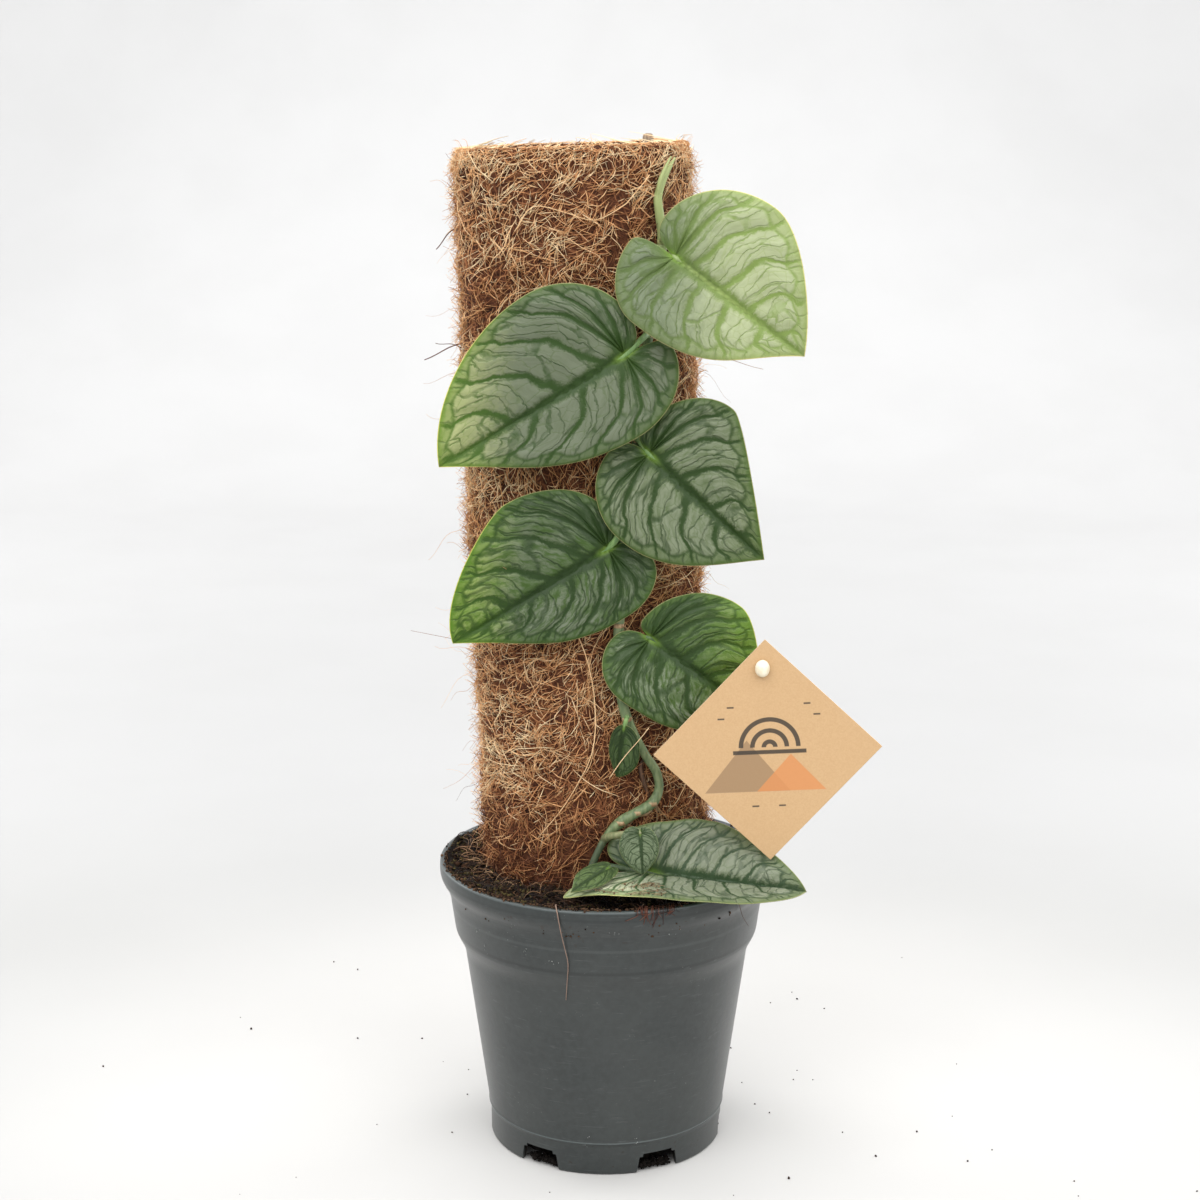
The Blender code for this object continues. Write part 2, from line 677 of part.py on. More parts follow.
def half_outline(half, length):
    """The margin of one half, from the junction round the lobe to the tip, as (along, across)."""
    round_arc = 0.55  # handle length that makes a quarter of an ellipse
    start = Vector((0.0, 0.0))
    back = Vector((-half.lobe_back, half.lobe_out))
    widest = Vector((half.wide_at, half.wide))
    tip = Vector((length, 0.0))
    rest = length - half.wide_at
    slope = math.radians(half.tip_angle)
    points = [start]
    points += cubic(
        start,
        Vector((-0.75 * half.lobe_back, 0.05 * half.lobe_out)),
        Vector((-half.lobe_back, 0.45 * half.lobe_out)),
        back,
        12,
    )
    points += cubic(
        back,
        back + Vector((0.0, round_arc * (half.wide - half.lobe_out))),
        widest - Vector((round_arc * (half.wide_at + half.lobe_back), 0.0)),
        widest,
        16,
    )
    points += cubic(
        widest,
        widest + Vector((half.fullness * rest, 0.0)),
        tip + 0.42 * rest * Vector((-math.cos(slope), math.sin(slope))),
        tip,
        16,
    )
    return points


def point_along(points, share):
    """The point at this share of a polyline's length."""
    lengths = [(b - a).length for a, b in zip(points, points[1:])]
    left = share * sum(lengths)
    for a, b, length in zip(points, points[1:], lengths):
        if left <= length:
            return a.lerp(b, left / length)
        left -= length
    return points[-1]


def vein_point(margin, length, share, out):
    """A point on the vein that meets the margin at this share, this far out from the midrib."""
    fan = 0.42  # veins that meet the margin before this share start at the junction
    edge = point_along(margin, share)
    start = Vector((length * max(0.0, (share - fan) / (1.0 - fan)) ** 1.15, 0.0))
    bend = Vector((start.x + 0.40 * (edge.x - start.x), 0.58 * edge.y))
    return start * (1 - out) ** 2 + 2 * out * (1 - out) * bend + edge * out * out


def leaf_axes(leaf):
    """Length of the midrib, and unit vectors along it, across the blade and out of its face."""
    along = Vector(leaf.tip) - Vector(leaf.junction)
    length = along.length
    along.normalize()
    out = Vector(leaf.face)
    out = (out - along * out.dot(along)).normalized()
    return length, along, out.cross(along), out


def blade_half(bm, leaf, half, side):
    """One half of the blade: a grid that follows the veins, bent to the leaf's pose."""
    length, along, across, out = leaf_axes(leaf)
    margin = half_outline(half, length)
    fold = math.radians(leaf.fold)
    grid = bmesh.ops.create_grid(
        bm, x_segments=leaf.vein_steps, y_segments=leaf.across_steps, size=0.5
    )["verts"]
    for vert in grid:
        flat = vein_point(margin, length, vert.co.x + 0.5, vert.co.y + 0.5)
        rise = flat.y * math.sin(fold) - leaf.curl * flat.y**2 / (0.5 * length)
        rise -= leaf.droop * max(0.0, flat.x) ** 2 / length
        rise -= half.sag * min(0.0, flat.x) ** 2 / length
        sideways = side * flat.y * math.cos(fold)
        vert.co = Vector(leaf.junction) + along * flat.x + across * sideways + out * rise


def build_leaf(name, leaf, material, collection, cutters, parent, stem_clearance):
    """A blade and its petiole as one solid, with the petiole cut back where it meets the stem."""
    bm = bmesh.new()
    blade_half(bm, leaf, leaf.left, 1)
    blade_half(bm, leaf, leaf.right, -1)
    bmesh.ops.remove_doubles(bm, verts=bm.verts, dist=MERGE)
    bmesh.ops.recalc_face_normals(bm, faces=bm.faces)
    bmesh.ops.triangulate(bm, faces=bm.faces)
    blade = link_mesh(name, mesh_from(bm, name), collection, parent)
    shell = blade.modifiers.new("thickness", "SOLIDIFY")
    shell.thickness = BLADE_THICKNESS
    shell.offset = 0.0
    apply_modifiers(blade)
    length, along, _, out = leaf_axes(leaf)
    joint = Vector(leaf.junction) - out * 0.5 * leaf.petiole_radius
    route = [(*point, 1.0) for point in leaf.petiole]
    route.append((*joint, 1.0))
    route.append((*(joint + along * min(0.006, 0.2 * length)), 0.7))
    petiole = tube("petiole", route, collection, parent, leaf.petiole_radius, smooth=2)
    add_boolean(petiole, "DIFFERENCE", stem_clearance)
    apply_modifiers(petiole)
    fuse(blade, [petiole])
    blade.data.materials.clear()
    blade.data.materials.append(material)
    smooth_shading(blade, 60)


def build_stem(collection, parent):
    stem = tube("stem", STEM_ROUTE, collection, parent, STEM_RADIUS, smooth=2)
    sheath = tube("sheath", SHEATH_ROUTE, collection, parent, STEM_RADIUS, smooth=2)
    fuse(stem, [sheath])
    stem.data.materials.clear()
    stem.data.materials.append(new_material("stem_green", (0.120, 0.190, 0.095), 0.5))
    smooth_shading(stem, 60)


def card_frame(parent, collection):
    """An empty at the card's centre, facing the viewer, with its up axis through the top corner."""
    empty = bpy.data.objects.new("card_frame", None)
    collection.objects.link(empty)
    empty.parent = parent
    empty.location = CARD_CENTRE
    empty.rotation_euler = (0.0, -CARD_TURN, 0.0)
    return empty


def build_tag(collection, cutters, parent, soil_cutters):
    """A square card hung by one corner on the knob of a thin stick that stands in the soil."""
    frame = card_frame(parent, collection)
    half_diagonal = CARD_SIDE / math.sqrt(2)
    bm = bmesh.new()
    bmesh.ops.create_cube(bm, size=1.0)
    for vert in bm.verts:
        x = vert.co.x * CARD_SIDE
        z = vert.co.z * CARD_SIDE
        vert.co = ((x - z) / math.sqrt(2), vert.co.y * CARD_THICKNESS, (x + z) / math.sqrt(2))
    card = link_mesh("tag_card", mesh_from(bm, "tag_card"), collection, frame)
    card.data.materials.append(new_material("card_paper", (0.790, 0.515, 0.270), 0.6))
    knob_z = half_diagonal - CARD_HOLE_DROP
    hole_mesh = cylinder_mesh("card_hole", TAG_STICK_RADIUS + GAP, -0.005, 0.005, 16)
    hole = hide_cutter(link_mesh("card_hole", hole_mesh, cutters, frame))
    hole.location = (CARD_HOLE_ASIDE, 0.0, knob_z)
    hole.rotation_euler = (math.pi / 2, 0.0, 0.0)
    add_boolean(card, "DIFFERENCE", hole)
    apply_modifiers(card)
    build_tag_stick(collection, cutters, parent, frame, knob_z, soil_cutters)


def build_tag_stick(collection, cutters, parent, frame, knob_z, soil_cutters):
    bpy.context.view_layer.update()
    to_parent = parent.matrix_world.inverted() @ frame.matrix_world
    front = -CARD_THICKNESS / 2 - GAP - KNOB_FLAT * KNOB_RADII[1]
    knob_centre = to_parent @ Vector((CARD_HOLE_ASIDE, front, knob_z))
    behind = to_parent @ Vector((CARD_HOLE_ASIDE, CARD_THICKNESS / 2 + NECK_BEHIND, knob_z))
    neck_route = [(*knob_centre, 1.0), (*knob_centre.lerp(behind, 0.6), 1.0), (*behind, 1.0)]
    foot = Vector(TAG_STICK_FOOT)
    middle = foot.lerp(behind, 0.5)
    above = behind + Vector((0.0, 0.0, TAG_STICK_RADIUS - GAP))
    stick_route = [(*foot, 1.0), (*middle, 1.0), (*above, 1.0)]
    stick = tube("tag_stick", stick_route, collection, parent, TAG_STICK_RADIUS, smooth=3)
    neck = tube("neck", neck_route, collection, parent, TAG_STICK_RADIUS, smooth=1)
    bm = bmesh.new()
    bmesh.ops.create_uvsphere(bm, u_segments=12, v_segments=6, radius=1.0)
    for vert in bm.verts:
        flattened = min(vert.co.y, KNOB_FLAT)
        vert.co = (vert.co.x * KNOB_RADII[0], flattened * KNOB_RADII[1], vert.co.z * KNOB_RADII[2])
    knob = link_mesh("knob", mesh_from(bm, "knob"), collection, parent)
    knob.location = knob_centre
    bpy.context.view_layer.update()
    fuse(stick, [neck, knob])
    stick.data.materials.clear()
    stick.data.materials.append(new_material("stick_plastic", (0.800, 0.740, 0.600), 0.35))
    smooth_shading(stick, 50)
    clearance = [(*foot - Vector((0, 0, GAP)), 1.0), (*middle, 1.0)]
    soil_cutters.append(
        hide_cutter(
            tube("stick_hole", clearance, cutters, parent, TAG_STICK_RADIUS + GAP, smooth=3)
        )
    )


def centre_on_floor(root, collection):
    """Moves the whole object so that the origin lies under its box's centre, on the floor."""
    bpy.context.view_layer.update()
    corners = []
    for obj in collection.objects:
        if obj.type == "MESH":
            corners += [obj.matrix_world @ vert.co for vert in obj.data.vertices]
    middle_x = (min(c.x for c in corners) + max(c.x for c in corners)) / 2
    middle_y = (min(c.y for c in corners) + max(c.y for c in corners)) / 2
    root.location = (-middle_x, -middle_y, 0.0)


def build():
    clear_scene()
    collection = new_collection(OBJECT_NAME)
    cutters = new_collection("cutters")
    root = bpy.data.objects.new(OBJECT_NAME, None)
    collection.objects.link(root)
    pole_frame = bpy.data.objects.new("pole_frame", None)
    collection.objects.link(pole_frame)
    pole_frame.parent = root
    pole_frame.location = (-0.0002, POLE_BEHIND, 0.0)
    pole_frame.rotation_euler = (0.0, -POLE_LEAN, 0.0)
    bpy.context.view_layer.update()
    stem_clearance = hide_cutter(
        tube("stem_clearance", STEM_ROUTE, cutters, root, STEM_RADIUS + GAP, smooth=2)
    )
    build_pot(collection, cutters, root)
    holes = pole_hole(cutters, pole_frame) + [stem_clearance]
    build_tag(collection, cutters, root, holes)
    build_soil(collection, cutters, root, holes)
    build_pole(collection, cutters, pole_frame, stem_clearance)
    build_stem(collection, root)
    green = new_material("leaf_green", (0.090, 0.160, 0.060), 0.45)
    for name, leaf in LEAVES.items():
        build_leaf(name, leaf, green, collection, cutters, root, stem_clearance)
    for cutter in list(cutters.objects):
        bpy.data.objects.remove(cutter)
    bpy.data.collections.remove(cutters)
    centre_on_floor(root, collection)


build()
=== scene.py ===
"""The visual model of a monstera dubia on a coir pole in a nursery pot, dressed round the frame.

Metres. Points are given from the pot's axis at floor level, as in the part's source. POT_AXIS moves
them into the row frame.
"""

import math
from dataclasses import dataclass
from functools import partialmethod
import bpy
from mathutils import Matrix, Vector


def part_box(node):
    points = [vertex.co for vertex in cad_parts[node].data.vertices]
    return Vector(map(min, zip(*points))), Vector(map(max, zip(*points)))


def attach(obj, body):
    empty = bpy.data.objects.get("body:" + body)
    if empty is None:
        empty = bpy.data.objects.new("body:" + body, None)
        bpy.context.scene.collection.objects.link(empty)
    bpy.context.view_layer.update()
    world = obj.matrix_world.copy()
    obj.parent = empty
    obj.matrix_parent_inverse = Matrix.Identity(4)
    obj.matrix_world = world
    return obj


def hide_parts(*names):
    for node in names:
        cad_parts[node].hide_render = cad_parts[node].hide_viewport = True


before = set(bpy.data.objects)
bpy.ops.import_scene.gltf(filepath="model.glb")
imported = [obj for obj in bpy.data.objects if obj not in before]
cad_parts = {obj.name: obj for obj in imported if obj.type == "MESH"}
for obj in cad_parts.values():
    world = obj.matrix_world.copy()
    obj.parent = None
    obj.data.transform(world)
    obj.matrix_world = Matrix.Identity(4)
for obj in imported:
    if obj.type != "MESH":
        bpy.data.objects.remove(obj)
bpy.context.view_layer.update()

from types import SimpleNamespace

import bmesh
import bpy
import numpy as np
from mathutils import Matrix, Vector, noise

SEED = 12
TUBE_SIDE = np.array([0.31, 0.52, 0.79])  # a direction that no strand runs along
pot_low, pot_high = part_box("pot")
POT_AXIS = Vector(((pot_low.x + pot_high.x) / 2, (pot_low.y + pot_high.y) / 2, 0.0))

# Camera: measured on the pot's rim, its feet and the pole's edges
CAMERA_PLACE = Vector((-0.0022, -0.794, 0.375))
CAMERA_PITCH = math.radians(12.49)
CAMERA_LENS = 69.09

# Stage
ROOM_LIGHT = (-1.0, 0.25, 0.6, 0.95)  # directions along Y where it is dim and bright, and both strengths
WALL_FOOT = (0.5, 1.95)  # y where the table begins to turn up into the wall, and where it has
FLOOR_FRONT = -3.0
FLOOR_REACH = 4.0
WALL_Y = 2.0
WALL_TOP = 3.0
WALL_BEND = 0.8  # radius of the bend between the table and the wall
SPECK_COUNT = 70
LIGHT_TARGET = Vector((0.0, 0.0, 0.18))
LIGHTS = (  # name, place, diameter and power
    ("key", (-0.8, -1.3, 1.6), 1.9, 27.0),
    ("fill", (0.95, -1.3, 1.4), 1.9, 21.0),
    ("top", (0.0, 0.1, 2.0), 1.8, 15.0),
    ("edge_left", (-1.05, 0.75, 0.8), 0.9, 9.0),
    ("edge_right", (1.05, 0.75, 0.8), 0.9, 9.0),
)

# Pot, as in the part's source
RIM_RADIUS = 0.06
POT_HEIGHT = 0.1046
POT_WALL = 0.0012
LIP_HEIGHT = 0.0045
BAND_TOP_RADIUS = 0.0564
BAND_TOP_Z = 0.092
BAND_FOOT_RADIUS = 0.0546
BAND_FOOT_Z = 0.079
BODY_TOP_RADIUS = 0.0512
BODY_TOP_Z = 0.0725
BODY_FOOT_RADIUS = 0.043
RIDGE_Z = 0.012
FOOT_RADIUS = 0.0424
FOOT_WALL = 0.002
FOOT_HEIGHT = 0.0075
FLOOR_THICKNESS = 0.0015
FOOT_COUNT = 6
FOOT_ANGLE = math.radians(-94.3)
NOTCH_WIDTH = 0.0135
DRAIN_RADIUS = 0.003
DRAIN_CIRCLE = 0.029
BASE_RIB_RADIUS = 0.036
BASE_RIB_WALL = 0.0016
BASE_RIB_CLEAR = 0.001
POT_STEPS = 144
NOTCH_SPREAD = 1.25  # how much wider a notch is at the floor
NOTCH_DEPTH = 0.011
NOTCH_ROUND = 0.0012
PAINTED_LIGHT_AND_SHADE_LINES = (  # height, half width, share and colour of the painted highlights along the edges and the painted shade in the creases
    (POT_HEIGHT - 0.0004, 0.0006, 0.25, (120, 130, 130)),
    (POT_HEIGHT - 0.0034, 0.0007, 0.4, (24, 28, 28)),
    (BAND_FOOT_Z + 0.0098, 0.0008, 0.1, (112, 118, 117)),
    (BAND_FOOT_Z + 0.0012, 0.0009, 0.5, (21, 24, 24)),
    (RIDGE_Z + 0.0002, 0.0004, 0.24, (118, 130, 130)),
)
DUST_SPOTS = (  # angles round the pot and heights of the pale dust on it
    (-2.5, 0.0876), (-2.43, 0.0826), (-2.21, 0.0905), (-2.1, 0.0864), (-1.92, 0.083),
    (-1.51, 0.0962), (-1.17, 0.095), (-1.72, 0.0132), (-1.33, 0.0128),
)
HANGING_ROUTES = (  # roots over the rim: x, distance from the pot's axis and height
    (
        (-0.0172, 0.052, 0.1035), (-0.0171, 0.0588, 0.1055), (-0.0165, 0.0607, 0.103),
        (-0.0155, 0.06, 0.097), (-0.0144, 0.0573, 0.0909), (-0.0131, 0.0563, 0.0842),
        (-0.0135, 0.0542, 0.0764), (-0.0139, 0.0518, 0.0691),
    ),
    (
        (0.043, 0.05, 0.103), (0.044, 0.0575, 0.1056), (0.0448, 0.0605, 0.1042),
        (0.0453, 0.0606, 0.102), (0.0462, 0.0604, 0.099), (0.0472, 0.0594, 0.095),
        (0.0485, 0.0582, 0.0915), (0.05, 0.0574, 0.088),
    ),
)
TIP_COLORS = ((26, 13, 10), (62, 30, 22), (100, 57, 41), (140, 90, 64))
ROOT_COLORS = ((46, 32, 28), (104, 82, 72), (140, 116, 102), (180, 158, 142))

# Soil
SOIL_TOP = 0.1
SOIL_MOUND = 0.0028
SOIL_HOLLOW = 0.005
SOIL_RELIEF = 0.0025
SOIL_HEAP = 0.0022  # how far the mix stands up against the wall on the left
CRUMB_COUNT = 2200
MOSS_COUNT = 1100
RIM_CRUMB_COUNT = 460
NOTCH_SHADE_CRUMB_COUNT = 900
SOIL_FIBRE_COUNT = 700
SPILT_FIBRE_COUNT = 260
TIP_COUNT = 34  # root tips in the tuft over the rim
SOIL_STRAND_COLORS = ((14, 9, 6), (62, 40, 27), (166, 126, 92), (218, 182, 138))

# Coir pole
POLE_HALF_WIDTH = 0.04
POLE_HALF_DEPTH = 0.03
POLE_SQUARENESS = 2.2
POLE_PLACE = Vector((-0.0002, 0.006, 0.0))
POLE_LEAN = math.radians(1.9)
SLEEVE_WALL = 0.006
SLEEVE_BOTTOM = 0.07
SLEEVE_TOP = 0.357
SLEEVE_RELIEF = 0.0012
SLEEVE_LUMP = 0.011
SLEEVE_BARE_Z = 0.106
CORE_RECESS = 0.0045
COIR_AROUND = 0.222  # once round the pole
COIR_COLORS = ((88, 48, 30), (180, 118, 75), (236, 181, 124), (254, 231, 188))
COIR_TUFTS = (1600, 6)  # tufts, and fibres in each
LONG_FIBRE_COUNT = 230
SIDE_HAIR_COUNT = 3900
EDGE_HAIR_COUNT = 1000
LONG_HAIR_COUNT = 46
TOP_FIBRE_COUNT = 420
CORE_BIT_COUNT = 900
COIR_LAYERS = (  # fibres, rings in each, their lengths and how bent they are
    (4900, 4, (0.004, 0.013), 0.6),
    (7000, 3, (0.003, 0.0095), 0.4),
    (7000, 3, (0.003, 0.0085), 0.4),
)
CANE_RADIUS = 0.0019
CANE_LENGTH = 0.08
CANE_PROUD = 0.0028
CANE_PLACE = Vector((0.0265, 0.012, 0.0))
TOP_EDGE = 0.985  # where the top's loose fibres turn over the edge, as a share of the outline
PALE_STRANDS = (  # x and z along the two coarse pale strands, and how high they lie
    (
        (
            (-0.011, 0.196), (-0.0064, 0.183), (-0.004, 0.167),
            (-0.0052, 0.15), (-0.014, 0.132), (-0.024, 0.119),
        ),
        0.0016,
    ),
    (
        (
            (-0.03, 0.33), (-0.024, 0.338), (-0.014, 0.336),
            (-0.004, 0.333), (0.006, 0.338), (0.014, 0.347),
        ),
        0.0014,
    ),
)
LOOSE_BITS = (  # both ends, tone and radius
    ((-0.048, 0.001, 0.1835), (-0.0692, 0.0, 0.188), 0.1, 0.0001),
    ((0.001, -0.03, 0.1425), (0.0146, -0.0335, 0.1624), 0.85, 0.00018),
    ((-0.048, 0.0, 0.29), (-0.0625, -0.004, 0.285), -0.3, 0.0003),
    ((-0.05, 0.002, 0.2878), (-0.059, 0.001, 0.2902), -0.3, 0.00018),
    ((-0.052, 0.0, 0.3285), (-0.058, -0.002, 0.3225), -0.3, 0.00026),
    ((0.033, -0.002, 0.286), (0.0541, -0.001, 0.2815), 0.2, 0.00012),
)

# Stem
STEM_RADIUS = 0.0016
YOUNG_HEIGHTS = (0.3, 0.34)  # where the stem's green turns pale
OLD_HEIGHTS = (0.117, 0.123)  # where its old, dark foot ends
PETIOLE_RADIUS = 0.0011
TAN_NODE = (  # x, z and radius
    (0.0098, 0.1284, 0.0005),
    (0.0116, 0.1279, 0.0011),
    (0.0138, 0.128, 0.001),
    (0.016, 0.129, 0.0004),
)
SCALE_ROUTE = ((0.0136, 0.1482), (0.012, 0.1446), (0.0131, 0.139), (0.0153, 0.1325))

# Leaves
FULL_LENGTH = 0.05  # a blade this long or longer has relief and marks of the full size
HALF_SHEET = 0.0003
ROUND_ARC = 0.55  # the handle that makes a quarter of an ellipse of a cubic curve
WELD = 0.000004
LITTER_COUNT = 34

# Tag
CARD_SIDE = 0.055
CARD_THICKNESS = 0.0007
CARD_CENTRE = Vector((0.0548, -0.041, 0.1558))
CARD_TURN = math.radians(2.3)
CARD_HOLE_DROP = 0.0097
CARD_HOLE_ASIDE = -0.0012
KNOB_RADII = (0.0025, 0.0018, 0.003)
KNOB_FLAT = 0.55
NECK_BEHIND = 0.0022
PRINT_SCALE = 1.3  # how much larger the print is on the card than its numbers, in mm
PRINT_SOFT = 0.12  # half the width of the print's soft edges
PRINT_STROKES = ((-12.0, 9.0), (-9.5, 12.0), (10.5, 12.5), (13.0, 9.5), (-3.5, -15.0), (3.5, -15.0))
TAG_STICK_RADIUS = 0.0014
TAG_STICK_FOOT = Vector((0.042, -0.006, 0.07))
GAP = 0.0003

STEM_ROUTE = (
    (-0.0075, -0.029, 0.078, 0.75),
    (-0.0064, -0.0288, 0.103, 0.75),
    (-0.0048, -0.0286, 0.111, 0.78),
    (0.0, -0.0278, 0.1207, 0.85),
    (0.005, -0.027, 0.1258, 1.25),
    (0.0107, -0.0258, 0.129, 1.1),
    (0.016, -0.024, 0.1318, 1.2),
    (0.0184, -0.0226, 0.1368, 1.0),
    (0.0173, -0.0228, 0.143, 1.0),
    (0.0138, -0.024, 0.1488, 1.0),
    (0.0103, -0.0249, 0.1555, 1.0),
    (0.0071, -0.0256, 0.1629, 1.15),
    (0.0047, -0.0257, 0.173, 1.0),
    (0.004, -0.0258, 0.1854, 1.0),
    (0.0043, -0.0257, 0.196, 1.15),
    (0.005, -0.0255, 0.2082, 1.0),
    (0.0043, -0.0255, 0.2239, 1.1),
    (0.005, -0.0254, 0.233, 1.0),
    (0.0076, -0.0248, 0.245, 1.0),
    (0.0106, -0.0236, 0.2596, 1.1),
    (0.0129, -0.0224, 0.2781, 1.0),
    (0.0139, -0.0218, 0.2948, 1.1),
    (0.0162, -0.0204, 0.3113, 1.0),
    (0.0186, -0.0184, 0.3255, 1.1),
    (0.0176, -0.0192, 0.3344, 0.95),
    (0.017, -0.0196, 0.34, 0.9),
    (0.0184, -0.0186, 0.3449, 0.75),
    (0.0207, -0.0166, 0.3495, 0.5),
    (0.0227, -0.0146, 0.353, 0.2),
)
SHEATH_ROUTE = (
    (0.0168, -0.0197, 0.338, 0.55),
    (0.0176, -0.0205, 0.345, 0.55),
    (0.0195, -0.0198, 0.35, 0.35),
    (0.0213, -0.0185, 0.3535, 0.15),
)


@dataclass
class Half:
    """One half of a blade: lengths along and across the midrib, from where the petiole joins it."""

    lobe_back: float
    lobe_out: float
    wide: float
    wide_at: float
    tip_angle: float
    fullness: float
    sag: float = 0.0


@dataclass
class Leaf:
    junction: tuple
    tip: tuple
    face: tuple
    left: Half
    right: Half
    petiole: tuple
    fold: float = 8.0
    droop: float = 0.06
    curl: float = 0.06
    petiole_radius: float = PETIOLE_RADIUS
    vein_steps: int = 84
    across_steps: int = 26
    veins: float = 8.0  # pairs of side veins, those of the basal lobes too
    fan: float = 0.48  # the share of the margin whose veins start at the junction
    bold: float = 1.0  # how wide the dark bands are
    halves: tuple = (1.0, 1.0)  # how much of the silver the right and the left half show
    dark: tuple = (48, 72, 28)  # the bands along the veins
    green: tuple = (80, 104, 48)  # between the silver and the margin
    silver: tuple = (134, 143, 117)
    flecks: float = 0.3  # 0 is even silver panels, 1 is silver broken into streaks
    pale_rib: float = 10.0  # mm along the midrib to where its pale line ends
    glow: tuple = (1.0, 2.0)  # x where the light from behind, painted into the colour, begins to show, and where it is full
    shine: tuple = (1.4, 1.38, 0.8)  # what that painted light does to the colour
    lit_halves: tuple = (1.0, 1.0)  # how much of the painted backlight the right and the left half get
